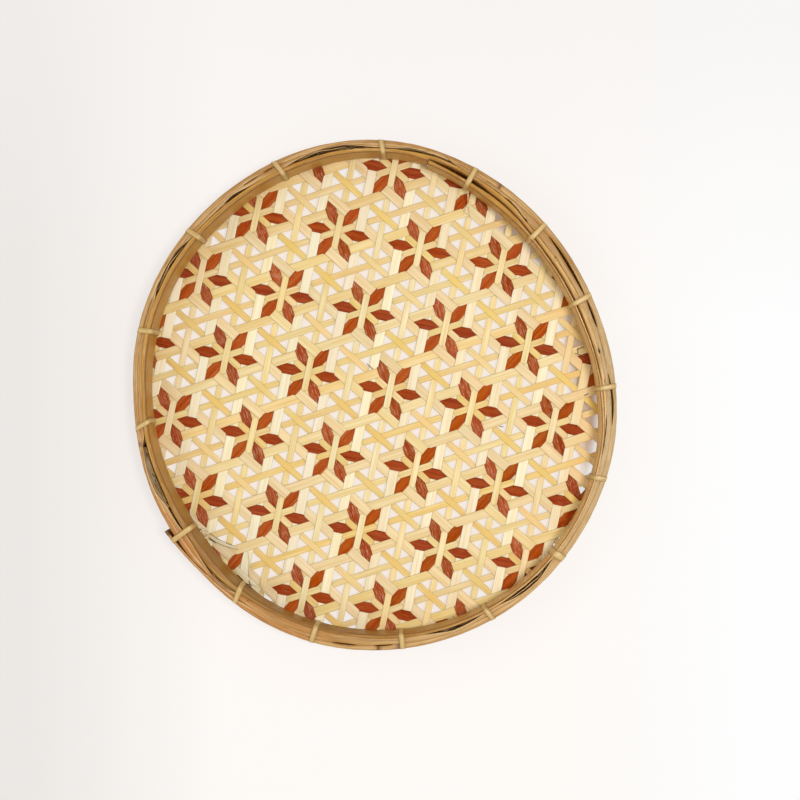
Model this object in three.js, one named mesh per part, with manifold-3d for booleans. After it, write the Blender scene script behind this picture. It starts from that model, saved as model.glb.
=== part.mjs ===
// A round bamboo wall plate: a tray with a see-through woven mat held between two hoops of split
// bamboo. Wide strips run in three directions and pass over and under each other, thin strips run
// through the middle of every hexagon, and red strips make six petals in every third hexagon.
// Two laths, each bent into a hoop with its ends lapped, grip the edge of the mat, and sixteen
// ties of thin bamboo bind the hoops together. The open side faces +Z, the tray lies on its ties
// at z = 0, and all lengths are in millimetres.

import * as THREE from 'three';
import { mergeVertices } from 'three/addons/utils/BufferGeometryUtils.js';
import Module from 'manifold-3d';

const wasm = await Module();
wasm.setup();

const { degToRad, smoothstep } = THREE.MathUtils;
const fullTurn = 2 * Math.PI;

// Rim: the outline is an ellipse, because the hoops were bent by hand
const rimLength = 309;
const rimWidthShare = 0.945;
const rimTurn = degToRad(101);
const seatGap = 0.3;
const hoopEdgeRound = 1;
const hoopStep = degToRad(8);

// Outer hoop: one lath whose shaved ends lap at the lower left
const outerHoopThickness = 3.4;
const outerHoopHeight = 25;
const outerLapThickness = 1.9;
const outerLapStart = degToRad(213);
const outerLapTurn = degToRad(64);
const outerLapEase = degToRad(16);

// Inner hoop: one lath whose ends lap along the right side
const innerHoopThickness = 3;
const innerHoopTop = 27;
const innerLapStart = degToRad(77);
const innerLapTurn = degToRad(97);
const innerLapEase = degToRad(28);
const matEdgeSlot = 0.5;

// Mat: the pitch from flower to flower is a share of the rim's length, and the place of one flower
// near the middle is a share of the pitch, so a larger plate has the same number of strips. The
// outermost wide strips keep a share of a quarter pitch between their middle and the mat's edge.
const pitchShare = 0.1673;
const weaveTurn = degToRad(-12);
const flowerXShare = 0.1915;
const flowerYShare = 0.0696;
const edgeRowShare = 0.4;
const wideStripWidth = 5.7;
const thinStripWidth = 3.9;
const redStripWidth = 6.5;
const redTongueWidth = 1.4;
const stripThickness = 0.4;
const stripGap = 0.06;
const tongueGap = 0.15;
const matSag = 1.5;
const matFloorGap = 1;

// Ties: where each one is, as a share of a full turn from +X
const tieTurnShares = [
  0.006, 0.069, 0.125, 0.183, 0.244, 0.3125, 0.383, 0.4555,
  0.52, 0.5995, 0.655, 0.711, 0.769, 0.828, 0.887, 0.945,
];
const tieWidth = 3.3;
const tieThickness = 0.6;

// Sizes that follow from the ones above
const long = rimLength / 2 - tieThickness - seatGap;
const short = rimLength * rimWidthShare / 2 - tieThickness - seatGap;
const facetShare = Math.cos(hoopStep / 2);
const outerHoopBottom = tieThickness + seatGap;
const outerHoopTop = outerHoopBottom + outerHoopHeight;
const outerStack = Math.max(outerHoopThickness, 2 * outerLapThickness + seatGap);
const innerHoopInset = outerStack + matEdgeSlot;
const innerLapInset = innerHoopInset + innerHoopThickness + seatGap;
const matLong = (long - outerStack) * facetShare - seatGap;
const matShort = (short - outerStack) * facetShare - seatGap;

// The kagome of wide strips: a strip crosses another at every step along it
const flowerPitch = rimLength * pitchShare;
const flowerX = flowerPitch * flowerXShare;
const flowerY = flowerPitch * flowerYShare;
const quarterPitch = flowerPitch / 4;
const crossStep = flowerPitch / (2 * Math.sqrt(3));
const stack = stripThickness + stripGap;
const lapShare = Math.sqrt(3) * wideStripWidth / crossStep;
const waveHeight = stack / (1 - lapShare);
const waveSlope = waveHeight / crossStep;

// Levels of the thin and red strips, measured from the middle of the mat. A thin strip meets the
// wide strips that cross under it over a lozenge that reaches this far along each of them.
const lapAlongThin = (wideStripWidth + thinStripWidth / 2) / Math.sqrt(3);
const lapAlongWide = (thinStripWidth + wideStripWidth / 2) / Math.sqrt(3);
const thinLevel = -waveHeight / 2 - stack;
const thinRise = crossStep - thinStripWidth * Math.sqrt(3) / 2;
const thinRiseShare = lapAlongThin / thinRise;
const thinClear = waveHeight / 2 - waveSlope * lapAlongWide + stack;
const thinTopLevel = (thinClear - thinRiseShare * thinLevel) / (1 - thinRiseShare);
const redLevel = thinLevel - stack;
const redTopLevel = waveSlope * redStripWidth / 2 + stack + stripGap;
const matBottom = redLevel - stripThickness / 2;
const matTop = thinTopLevel + stripThickness / 2;
const matMiddle = matFloorGap - matBottom;
const innerHoopBottom = matMiddle + matSag + matTop + seatGap;
const rimTop = Math.max(innerHoopTop, outerHoopTop);

// Height of the middle of the mat: a shallow dish, highest at its edge
function matHeight(x, y) {
  const along = x * Math.cos(rimTurn) + y * Math.sin(rimTurn);
  const across = y * Math.cos(rimTurn) - x * Math.sin(rimTurn);
  return matMiddle + matSag * ((along / matLong) ** 2 + (across / matShort) ** 2);
}

// Distance from the middle of the tray to the rim's outline in the direction of an angle
function rimRadius(angle) {
  const along = Math.cos(angle - rimTurn) / long;
  const across = Math.sin(angle - rimTurn) / short;
  return 1 / Math.hypot(along, across);
}

function direction(angle) {
  return new THREE.Vector2(Math.cos(angle), Math.sin(angle));
}

const flower = new THREE.Vector2(flowerX, flowerY);

// A body of split strips. A strip has a flat face on top and a belly below, so a line across it
// has three corners: its right edge, its left edge and its keel, which is the lowest line.
class Weave {
  constructor() {
    this.corners = [];
    this.faces = [];
  }

  corner(x, y, level) {
    this.corners.push(x, y, matHeight(x, y) + level);
    return this.corners.length / 3 - 1;
  }

  edge(x, y, level) {
    return this.corner(x, y, level + stripThickness / 2);
  }

  keel(x, y, level) {
    return this.corner(x, y, level - stripThickness / 2);
  }

  // Corners in anticlockwise order, seen from outside
  face(...corners) {
    for (let i = 2; i < corners.length; i += 1) {
      this.faces.push(corners[0], corners[i - 1], corners[i]);
    }
  }

  // A stretch of strip between two lines across it
  span(back, front) {
    this.face(back.right, front.right, front.left, back.left);
    this.face(back.keel, front.keel, front.right, back.right);
    this.face(front.keel, back.keel, back.left, front.left);
  }

  // The line across a strip at a distance ahead of its start
  line(start, ahead, along, halfWidth, level) {
    const middle = start.clone().addScaledVector(ahead, along);
    const side = new THREE.Vector2(-ahead.y, ahead.x).multiplyScalar(halfWidth);
    return {
      right: this.edge(middle.x - side.x, middle.y - side.y, level),
      left: this.edge(middle.x + side.x, middle.y + side.y, level),
      keel: this.keel(middle.x, middle.y, level),
    };
  }

  geometry() {
    const geometry = new THREE.BufferGeometry();
    geometry.setAttribute('position', new THREE.Float32BufferAttribute(this.corners, 3));
    geometry.setIndex(this.faces);
    return geometry;
  }
}

function toSolid(geometry) {
  const bare = geometry.clone();
  bare.deleteAttribute('normal');
  bare.deleteAttribute('uv');
  const merged = mergeVertices(bare);
  const vertProperties = new Float32Array(merged.attributes.position.array);
  const triVerts = new Uint32Array(merged.index.array);
  return new wasm.Manifold(new wasm.Mesh({ numProp: 3, vertProperties, triVerts }));
}

function toGeometry(solid) {
  const mesh = solid.getMesh();
  const geometry = new THREE.BufferGeometry();
  geometry.setAttribute('position', new THREE.BufferAttribute(mesh.vertProperties, 3));
  geometry.setIndex(new THREE.BufferAttribute(mesh.triVerts, 1));
  return geometry;
}

// Everything inside the edge of the mat: what is outside it is cut off the strips
function matOutline() {
  const outline = new THREE.Shape();
  outline.absellipse(0, 0, matLong, matShort, 0, fullTurn, false, rimTurn);
  const height = 2 * rimTop;
  const settings = { depth: height, bevelEnabled: false, curveSegments: 24 };
  const block = new THREE.ExtrudeGeometry(outline, settings);
  block.translate(0, 0, -height / 4);
  return toSolid(block);
}

// Keeps the largest connected part of a geometry, and drops clippings that hang on nothing
function largestPart(geometry) {
  const index = geometry.index.array;
  const parent = Array.from({ length: geometry.attributes.position.count }, (_, i) => i);
  const root = (i) => {
    let node = i;
    while (parent[node] !== node) {
      parent[node] = parent[parent[node]];
      node = parent[node];
    }
    return node;
  };
  for (let i = 0; i < index.length; i += 3) {
    parent[root(index[i + 1])] = root(index[i]);
    parent[root(index[i + 2])] = root(index[i]);
  }
  const faceCount = new Map();
  for (let i = 0; i < index.length; i += 3) {
    const part = root(index[i]);
    faceCount.set(part, (faceCount.get(part) ?? 0) + 1);
  }
  const largest = [...faceCount].reduce((best, entry) => (entry[1] > best[1] ? entry : best))[0];
  const kept = [];
  for (let i = 0; i < index.length; i += 3) {
    if (root(index[i]) === largest) {
      kept.push(index[i], index[i + 1], index[i + 2]);
    }
  }
  geometry.setIndex(kept);
  return geometry;
}

// Cuts a body of strips to the edge of the mat and clears the notches that the ties pass through
function trimmed(weave) {
  const solid = toSolid(weave.geometry()).intersect(trim).subtract(tieNotches);
  return largestPart(toGeometry(solid));
}

// One wide strip. It is over the next direction's strips and under the other's in turn, so its
// middle line rises and falls by one wave between one crossing and the next.
function wideStrip(turn, row) {
  const weave = new Weave();
  const ahead = direction(turn);
  const start = flower.clone().addScaledVector(direction(turn + fullTurn / 4), (2 * row + 1) * quarterPitch);
  const reach = Math.ceil(rimLength / 2 / crossStep) + 1;
  const lines = [];
  for (let step = -reach; step < reach; step += 1) {
    const isOver = Math.abs(step + row) % 2 === 1;
    const level = isOver ? waveHeight / 2 : -waveHeight / 2;
    lines.push(weave.line(start, ahead, (step + 1 / 2) * crossStep, wideStripWidth / 2, level));
  }
  lines.slice(1).forEach((line, n) => weave.span(lines[n], line));
  const first = lines[0];
  const last = lines[lines.length - 1];
  weave.face(first.left, first.keel, first.right);
  weave.face(last.right, last.keel, last.left);
  return trimmed(weave);
}

// The rows of wide strips in one direction that lie inside the edge of the mat
function wideRows(turn) {
  const across = direction(turn + fullTurn / 4);
  const alongLong = across.dot(direction(rimTurn)) * matLong;
  const alongShort = across.cross(direction(rimTurn)) * matShort;
  const edge = Math.hypot(alongLong, alongShort) - quarterPitch * edgeRowShare;
  const rows = [];
  const reach = 2 * Math.ceil(rimLength / flowerPitch);
  for (let row = -reach; row < reach; row += 1) {
    const offset = flower.dot(across) + (2 * row + 1) * quarterPitch;
    if (Math.abs(offset) < edge) {
      rows.push(row);
    }
  }
  return rows;
}

// A net of strips that run in three directions and meet, six at a time, in hexagonal hubs. The
// corners of a hub lie between its strips, and profile gives the lines across the strip that
// joins two hubs.
function net(turn, pitch, hubShape, profile) {
  const weave = new Weave();
  const hubs = new Map();
  const sixth = fullTurn / 6;
  const reach = Math.ceil(rimLength / pitch) + 1;
  for (let i = -reach; i <= reach; i += 1) {
    for (let j = -reach; j <= reach; j += 1) {
      const middle = flower.clone().addScaledVector(direction(turn), i * pitch);
      middle.addScaledVector(direction(turn + sixth), j * pitch);
      if (middle.length() < rimLength / 2 + pitch) {
        const sides = hub(weave, middle, turn, hubShape);
        hubs.set(`${i},${j}`, { i, j, middle, sides, joined: new Set() });
      }
    }
  }
  const steps = [[1, 0], [0, 1], [-1, 1]];
  for (const start of hubs.values()) {
    steps.forEach(([di, dj], k) => {
      const end = hubs.get(`${start.i + di},${start.j + dj}`);
      if (!end) {
        return;
      }
      const ahead = direction(turn + k * sixth);
      let back = start.sides[k];
      for (const { along, width, level } of profile(start, end, k)) {
        const front = weave.line(start.middle, ahead, along, width / 2, level);
        weave.span(back, front);
        back = front;
      }
      const last = end.sides[k + 3];
      weave.span(back, { right: last.left, left: last.right, keel: last.keel });
      start.joined.add(k);
      end.joined.add(k + 3);
    });
  }
  for (const { sides, joined } of hubs.values()) {
    const ends = sides.filter((side, k) => !joined.has(k));
    ends.forEach((side) => weave.face(side.left, side.right, side.keel));
  }
  return trimmed(weave);
}

// The plate where six strips meet. Each side is the line across the strip that leaves there. The
// plate is a hexagon, or if it reaches further out than that, it has a cut corner between strips.
function hub(weave, middle, turn, { width, reach, level }) {
  const sides = [];
  for (let k = 0; k < 6; k += 1) {
    sides.push(weave.line(middle, direction(turn + k * fullTurn / 6), reach, width / 2, level));
  }
  const isHexagon = reach <= width * Math.sqrt(3) / 2;
  sides.forEach((side, k) => {
    const next = sides[(k + 1) % 6];
    if (isHexagon) {
      side.left = next.right;
    }
    weave.face(...new Set([side.left, side.keel, next.keel, next.right]));
  });
  weave.face(...new Set(sides.flatMap((side) => [side.right, side.left])));
  weave.face(...sides.map((side) => side.keel).reverse());
  return sides;
}

// Thin strips run below the wide ones. Where two of the three directions cross between hexagons
// that hold no flower, they come up and pass over the crossing.
function thinNet() {
  const isFlower = (hub) => (hub.i - hub.j) % 3 === 0;
  const comesUp = (hub, next, k) => k < 2 && !isFlower(hub) && !isFlower(next);
  const crossing = { along: crossStep, width: thinStripWidth, level: thinTopLevel };
  const profile = (hub, next, k) => (comesUp(hub, next, k) ? [crossing] : []);
  const plate = { width: thinStripWidth, reach: thinStripWidth * Math.sqrt(3) / 2, level: thinLevel };
  return net(weaveTurn + fullTurn / 12, 2 * crossStep, plate, profile);
}

// Red strips run below everything, and come up over one wide strip on each side of a flower. What
// shows there is a petal, and it narrows to a tongue where it dives under its neighbours.
function redNet() {
  const wideHalf = wideStripWidth / 2;
  const thinEdge = thinStripWidth + (redTongueWidth / 2 + tongueGap) * Math.sqrt(3);
  const wideEdge = 2 * quarterPitch - wideStripWidth - (redTongueWidth / 2 + tongueGap) * Math.sqrt(3);
  const outerSpan = quarterPitch - wideHalf - stripGap;
  const outerWidth = 2 * (outerSpan / Math.sqrt(3) - wideStripWidth / Math.sqrt(3) - tongueGap);
  const petal = [
    { along: quarterPitch - wideHalf - stripGap, width: redStripWidth, level: redTopLevel },
    { along: quarterPitch + wideHalf + stripGap, width: outerWidth, level: redTopLevel },
    { along: wideEdge, width: redTongueWidth, level: redLevel },
  ];
  const mirrored = petal.map((ring) => ({ ...ring, along: flowerPitch - ring.along })).reverse();
  const profile = () => [...petal, ...mirrored];
  return net(weaveTurn, flowerPitch, { width: redTongueWidth, reach: thinEdge, level: redLevel }, profile);
}

// A lath bent round the rim more than once. At each angle the shape of its cut end is placed by
// how far its middle lies inside the outline, its thickness, and its lower and upper edge.
function lath(start, sweep, bottom, top, insetAt, thicknessAt) {
  const corners = [];
  const faces = [];
  const count = Math.round(Math.abs(sweep) / hoopStep);
  const round = hoopEdgeRound;
  for (let n = 0; n <= count; n += 1) {
    const run = Math.abs(sweep) * n / count;
    const angle = start + Math.sign(sweep) * run;
    const half = thicknessAt(run) / 2;
    const profile = [
      [-half, bottom],
      [half, bottom],
      [half, top - round],
      [half - round / 2, top],
      [-half + round / 2, top],
      [-half, top - round],
    ];
    for (const [out, z] of profile) {
      const radius = rimRadius(angle) - insetAt(run) + out;
      corners.push(radius * Math.cos(angle), radius * Math.sin(angle), z);
    }
  }
  const size = 6;
  const face = (a, b, c) => (sweep > 0 ? faces.push(a, b, c) : faces.push(a, c, b));
  for (let n = 0; n < count; n += 1) {
    for (let k = 0; k < size; k += 1) {
      const a = n * size + k;
      const b = n * size + (k + 1) % size;
      face(a, a + size, b);
      face(b, a + size, b + size);
    }
  }
  for (let k = 2; k < size; k += 1) {
    face(0, k - 1, k);
    face(count * size, count * size + k, count * size + k - 1);
  }
  const geometry = new THREE.BufferGeometry();
  geometry.setAttribute('position', new THREE.Float32BufferAttribute(corners, 3));
  geometry.setIndex(faces);
  return geometry;
}

// Outer hoop: the first stretch lies outside, the last stretch lies inside it, both shaved thin
function outerInset(run) {
  const outside = outerLapThickness / 2;
  const single = outerHoopThickness / 2;
  const inside = outerLapThickness + seatGap + outerLapThickness / 2;
  const leave = smoothstep(run, outerLapTurn, outerLapTurn + outerLapEase);
  const arrive = smoothstep(run, fullTurn - outerLapEase, fullTurn - hoopStep);
  return outside + (single - outside) * leave + (inside - single) * arrive;
}

function outerThickness(run) {
  const leave = smoothstep(run, outerLapTurn, outerLapTurn + outerLapEase);
  const arrive = smoothstep(run, fullTurn - outerLapEase, fullTurn - hoopStep);
  return outerLapThickness + (outerHoopThickness - outerLapThickness) * (leave - arrive);
}

// Inner hoop: its first stretch lies inside its last one, at full thickness
function innerInset(run) {
  const leave = smoothstep(run, innerLapTurn + hoopStep, innerLapTurn + innerLapEase);
  return innerHoopThickness / 2 + innerLapInset + (innerHoopInset - innerLapInset) * leave;
}

// How far out a bent face is over the whole width of a tie, measured along the tie's own direction.
// The face may stand askew to the tie, because the rim is an ellipse.
function acrossTie(angle, faceRadius, nearestOrFarthest) {
  const reach = [-1, 0, 1].map((side) => {
    const turn = side * tieWidth / 2 / faceRadius(angle);
    return faceRadius(angle + turn) * Math.cos(turn);
  });
  return nearestOrFarthest(...reach);
}

// The innermost face of the inner hoop, and the face of the outer hoop towards the mat
function innerFace(angle) {
  const run = THREE.MathUtils.euclideanModulo(innerLapStart - angle, fullTurn);
  return (rimRadius(angle) - innerInset(run) - innerHoopThickness / 2) * facetShare;
}

function matFace(angle) {
  return (rimRadius(angle) - outerStack) * facetShare;
}

// Where the leg of a tie runs down inside the hoops
function innerLeg(angle) {
  return acrossTie(angle, innerFace, Math.min) - seatGap;
}

// The loop that a tie makes round both hoops, as radius and height. Its inner corners are worked
// out first, and its outer ones lie one thickness further out along every side.
function tieLoop(angle) {
  const inner = innerLeg(angle);
  const outer = acrossTie(angle, rimRadius, Math.max) + seatGap;
  const heel = acrossTie(angle, matFace, Math.min) - seatGap;
  const edge = direction(angle).multiplyScalar(inner);
  const underMat = matHeight(edge.x, edge.y) + matBottom - seatGap - tieThickness;
  const bottom = outerHoopBottom - seatGap;
  const top = rimTop + seatGap;
  const round = hoopEdgeRound;
  return [
    new THREE.Vector2(inner, underMat),
    new THREE.Vector2(heel, bottom),
    new THREE.Vector2(outer, bottom),
    new THREE.Vector2(outer, top - 2 * round),
    new THREE.Vector2(outer - round, top),
    new THREE.Vector2(inner + round / 2, top),
    new THREE.Vector2(inner, top - round),
  ];
}

// Moves every side of a convex outline outwards by the same distance
function grown(points, distance) {
  return points.map((point, i) => {
    const before = points[(i + points.length - 1) % points.length];
    const after = points[(i + 1) % points.length];
    const into = point.clone().sub(before).normalize();
    const out = after.clone().sub(point).normalize();
    const share = distance / (1 + into.dot(out));
    return new THREE.Vector2(point.x + (into.y + out.y) * share, point.y - (into.x + out.x) * share);
  });
}

function tieGeometry(angle) {
  const hole = tieLoop(angle);
  const shape = new THREE.Shape(grown(hole, tieThickness));
  shape.holes.push(new THREE.Path(hole));
  const geometry = new THREE.ExtrudeGeometry(shape, { depth: tieWidth, bevelEnabled: false });
  geometry.translate(0, 0, -tieWidth / 2);
  return geometry;
}

// The notch in the mat's edge where a tie goes down inside the hoops and out below the mat
function tieNotch(angle) {
  const near = innerLeg(angle) - tieThickness - seatGap;
  const far = rimLength / 2;
  const notch = new THREE.BoxGeometry(far - near, tieWidth + 2 * seatGap, 2 * rimTop);
  notch.translate((near + far) / 2, 0, 0);
  notch.rotateZ(angle);
  return toSolid(notch);
}

const tieAngles = tieTurnShares.map((share) => share * fullTurn);
const tieNotches = tieAngles.map(tieNotch).reduce((all, notch) => all.add(notch));
const trim = matOutline();

// Materials
function bamboo(color, roughness) {
  return new THREE.MeshStandardMaterial({ color, roughness, metalness: 0 });
}

const wideColors = ['#f3d79c', '#fdeecb', '#f7deac'];
const thinColor = '#efd585';
const redColor = '#a83a1c';
const outerHoopColor = '#c8924a';
const innerHoopColor = '#a87a34';
const tieColor = '#d2b070';

const group = new THREE.Group();

function add(name, geometry, material) {
  const mesh = new THREE.Mesh(geometry, material);
  mesh.name = name;
  group.add(mesh);
  return mesh;
}

const number = (n) => String(n).padStart(2, '0');

const outerGeometry = lath(
  outerLapStart, fullTurn + outerLapTurn, outerHoopBottom, outerHoopTop, outerInset, outerThickness,
);
add('outer_hoop', outerGeometry, bamboo(outerHoopColor, 0.45));

const innerThickness = () => innerHoopThickness;
const innerGeometry = lath(
  innerLapStart, -fullTurn - innerLapTurn, innerHoopBottom, innerHoopTop, innerInset, innerThickness,
);
add('inner_hoop', innerGeometry, bamboo(innerHoopColor, 0.5));

tieAngles.forEach((angle, n) => {
  const tie = add(`tie_${number(n + 1)}`, tieGeometry(angle), bamboo(tieColor, 0.55));
  tie.rotation.set(fullTurn / 4, 0, angle, 'ZYX');
});

['a', 'b', 'c'].forEach((letter, k) => {
  const turn = weaveTurn + (k + 1 / 2) * fullTurn / 6;
  wideRows(turn).forEach((row, n) => {
    add(`wide_strip_${letter}_${number(n + 1)}`, wideStrip(turn, row), bamboo(wideColors[k], 0.6));
  });
});

add('thin_strip_net', thinNet(), bamboo(thinColor, 0.6));
add('red_strip_net', redNet(), bamboo(redColor, 0.55));

export default group;
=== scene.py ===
"""Round bamboo wall plate: a see-through woven mat in a rim of split bamboo laths.

All lengths in the constants are millimetres in the frame of the CAD part, with the open side up.
"""

import functools
import math

import bpy
import numpy as np
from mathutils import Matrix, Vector


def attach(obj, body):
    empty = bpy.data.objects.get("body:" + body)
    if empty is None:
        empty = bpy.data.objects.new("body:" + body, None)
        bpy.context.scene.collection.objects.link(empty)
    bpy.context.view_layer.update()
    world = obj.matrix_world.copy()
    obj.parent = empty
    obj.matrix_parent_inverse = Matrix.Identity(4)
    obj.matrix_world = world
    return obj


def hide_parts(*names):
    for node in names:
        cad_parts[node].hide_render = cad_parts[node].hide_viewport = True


bl_info = {
    "name": "Woven Wall Plate",
    "version": (1, 0, 0),
    "blender": (4, 5, 0),
    "location": "3D View > Sidebar > Wall Plate",
    "description": "Builds a round woven bamboo wall plate round its CAD frame",
    "category": "Add Mesh",
}

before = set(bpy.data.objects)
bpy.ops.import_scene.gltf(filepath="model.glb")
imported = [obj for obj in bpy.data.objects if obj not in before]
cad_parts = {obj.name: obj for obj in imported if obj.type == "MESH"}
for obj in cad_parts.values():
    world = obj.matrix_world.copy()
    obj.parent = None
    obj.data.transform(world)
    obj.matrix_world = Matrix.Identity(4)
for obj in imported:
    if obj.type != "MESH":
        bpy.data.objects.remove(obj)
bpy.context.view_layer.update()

MM = 0.001

# Mat: the lattice of the weave, as in the CAD part. PITCH is the distance between the middles of two
# flowers, and CROSS the one between two crossings along a wide strip
PITCH = 51.7
CROSS = PITCH / (2 * math.sqrt(3))
# The middle of one flower, and the direction of the first dyed strips in degrees
FLOWER = np.array([9.9, 3.6])
WEAVE_TURN = -12.0
# Share of a quarter pitch that the outermost strips keep from the edge of the mat
EDGE_ROW = 0.4
# The mat is a shallow dish with an oval edge: height of its middle, rise to the edge, half of the
# long and of the short width, and the direction of the long one
DISH_MIDDLE = 2.8
DISH_RISE = 1.5
DISH_LONG = 148.8
DISH_SHORT = 140.4
RIM_TURN = math.radians(101)

# Rim: the radius of its outer face from the middle of the part, every ten degrees
OUTER_FACE = tuple(zip(range(0, 360, 10), (
    147.6, 146.4, 145.5, 145.9, 147.1, 148.6, 150.5, 152.5, 154.7, 155.5, 155.5, 154.7, 153.2, 152.0, 150.9,
    149.7, 148.5, 147.0, 145.0, 144.9, 145.9, 146.6, 147.6, 149.4, 151.6, 153.0, 154.0, 154.0, 154.0, 153.8,
    153.5, 152.8, 151.7, 150.8, 150.0, 149.1,
)))
# The outer side of the inner hoop: pairs of an angle in degrees and a radius, as in the next tables
SPLIT_LINE = (
    (0, 141.0), (10, 139.8), (20, 138.5), (30, 138.5), (40, 139.0), (46, 139.9), (50, 141.4), (53, 143.2),
    (56, 144.1), (60, 145.2), (66, 146.4), (70, 148.2), (74, 149.6), (80, 150.0), (92, 150.3), (100, 150.0),
    (105, 149.3), (112, 148.1), (121, 147.0), (130, 146.3), (140, 145.6), (148, 145.1), (156, 144.2),
    (165, 143.2), (172, 141.6), (180, 139.8), (190, 140.3), (200, 139.6), (205, 139.4), (210, 140.1),
    (217, 140.5), (220, 141.4), (226, 144.0), (230, 144.8), (240, 144.8), (250, 145.0), (260, 145.6),
    (270, 146.8), (280, 147.5), (300, 147.7), (305, 147.1), (312, 146.9), (320, 146.2), (330, 145.0),
    (340, 143.9), (350, 142.2), (355, 141.6),
)
# Width of the gap that is open between the two hoops
GAP_WIDTH = (
    (47, 0.0), (49, 0.5), (52, 1.1), (55, 1.1), (57, 0.6), (60, 0.4), (64, 0.3), (67, 0.0), (69, 0.0),
    (71, 0.6), (74, 2.8), (77, 3.0), (80, 2.9), (82, 1.9), (85, 0.9), (88, 0.5), (91, 0.9),
    (94, 2.2), (97, 3.1), (100, 3.1), (103, 2.8), (106, 2.1), (109, 1.2), (111.5, 0.0), (116, 0.0),
    (118, 0.4), (121, 0.6), (123, 1.4), (125, 2.0), (128, 1.0), (130, 0.5), (135, 0.4), (137, 0.0),
    (138.5, 0.3), (140, 0.8), (143, 2.3), (146, 3.1), (148, 3.0), (151, 2.8), (154, 1.7), (156.5, 0.0),
    (189.5, 0.0), (190.5, 0.9), (192.5, 2.9), (196, 4.0), (199, 5.2), (203, 4.9), (206, 3.2), (208, 1.7),
    (211, 1.4), (214, 1.2), (216, 0.4), (222, 0.4), (226, 0.9), (228, 1.9), (231, 2.8), (233, 1.8),
    (235, 0.5), (237, 0.0), (281, 0.0), (285, 1.1), (289, 2.4), (292, 1.9), (295, 0.9), (297, 0.2),
    (301, 0.3), (303, 1.0), (305, 2.3), (308, 3.0), (312, 2.9), (315, 1.6), (318, 0.3), (320, 0.0),
    (344, 0.0), (346, 0.6), (350, 0.9), (354, 0.8), (356, 0.0),
)
# Thickness of the outermost strand, the one with the skin
SKIN_WIDTH = (
    (0, 2.6), (4.5, 3.7), (10, 4.0), (17, 3.8), (25, 3.7), (31, 3.9), (37, 3.7), (45, 3.3), (50, 3.1),
    (60, 2.8), (68, 2.9), (74, 2.6), (80, 2.5), (88, 2.9), (97, 2.2), (106, 2.6), (120, 3.1), (140, 3.0),
    (146, 2.0), (156, 2.6), (170, 2.8), (190, 2.6), (199, 1.4), (206, 2.4), (215, 3.2), (228, 2.6),
    (240, 3.4), (260, 3.0), (275, 2.9), (290, 2.3), (300, 3.2), (308, 2.1), (320, 2.9), (340, 3.0),
    (350, 2.7),
)
# Where the outermost strand stands off the one behind it: first angle, last angle, width
SKIN_EYES = (
    (353, 365.5, 1.2), (17, 24.5, 1.2), (25.3, 42.5, 1.5), (260.3, 266.3, 0.9), (270.2, 274.8, 0.6),
    (113.4, 116.2, 0.5), (117.3, 121.8, 0.5),
)
# How far the outer hoop's free end stands off
FREE_END = ((213, 3.8), (216, 3.0), (219, 2.3), (222, 1.5), (226, 0.7), (231, 0.3), (237, 0.0), (400, 0.0))
FREE_END_THICKNESS = 1.4
# The inner hoop: its innermost face, and the line between its two layers where it is doubled
LAP_FACE = (
    (-20, 142.7), (-10, 140.8), (0, 137.6), (6, 136.6), (10, 135.6), (15, 134.5), (20, 133.6), (30, 133.2),
    (40, 133.8), (50, 135.4), (60, 137.5), (70, 141.4), (77, 144.5),
)
LAP_LINE = (
    (-20, 143.7), (-10, 141.9), (0, 139.2), (6, 137.8), (10, 136.9), (15, 135.9), (20, 135.2), (30, 134.9),
    (40, 135.5), (46, 136.9), (50, 138.4), (55, 140.2), (60, 141.5), (65, 143.3), (70, 144.9), (77, 147.3),
)
LAP_GAP = (
    (4, 0.0), (7, 0.35), (15, 0.35), (20, 0.7), (30, 0.6), (46, 0.4), (55, 0.6), (60, 0.8), (63, 1.8),
    (68, 2.2), (71, 1.8), (74, 0.9), (77, 0.2),
)
SINGLE_FACE = ((77, 146.0), *zip(range(80, 350, 10), (
    146.4, 147.2, 146.4, 144.6, 143.2, 141.5, 141.1, 140.5, 139.3, 137.7, 136.5, 135.7, 135.2, 134.3, 135.6,
    138.3, 141.2, 142.7, 143.6, 144.2, 145.1, 145.6, 145.6, 145.4, 144.9, 144.0, 142.7,
)))
# Where the laps begin and end, in degrees, and the heights of the hoops' bottoms and tops
LAP_START = -20.0
LAP_END = 77.0
OUTER_LAP_START = 213.0
OUTER_LAP_END = 237.0
OUTER_BOTTOM = 0.9
OUTER_TOP = 25.9
INNER_BOTTOM = 6.0
INNER_TOP = 26.8
# Grey twisted strands that lie in the two widest gaps: first angle, last angle
TWISTED = ((192.6, 208.6), (72.5, 86.0))
# Blades that have split off: first angle, last angle, and how far across the gap each one stands
SLIVERS = (
    (47.5, 58.0, 0.8), (96.0, 107.5, 0.6), (142.0, 153.5, 0.42), (226.0, 236.5, 0.75), (227.5, 234.0, 0.45),
    (303.5, 314.0, 0.55), (127.2, 128.8, 0.5),
)
# Dark scars of the nodes of the cane, and how far their darkness reaches, in degrees
SCARS = (58.9, 191.7, 271.3, 275.8)
SCAR_REACH = 0.45

# Ties: the angle of each one in degrees, and how far its inner side leans along the rim
TIES = (
    (2.16, -1.2), (24.84, -1.0), (45.0, 0.0), (65.88, 1.0), (87.84, -2.0), (112.5, -3.0), (137.88, -1.6),
    (163.98, -1.6), (187.2, -4.2), (215.82, 0.0), (235.8, -2.7), (255.96, 0.8), (276.84, 0.0),
    (298.08, -1.6), (319.32, -1.2), (340.2, -1.6),
)
# The ties that are wider than the rest, and how many times
WIDE_TIES = {15: 1.45}
# A tie stands this far off the outer face and the inner one, and lies at these heights
TIE_OUTSIDE = 0.45
TIE_INSIDE = 0.4
TIE_LOW = 0.35
TIE_HIGH = INNER_TOP + 0.55
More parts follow.
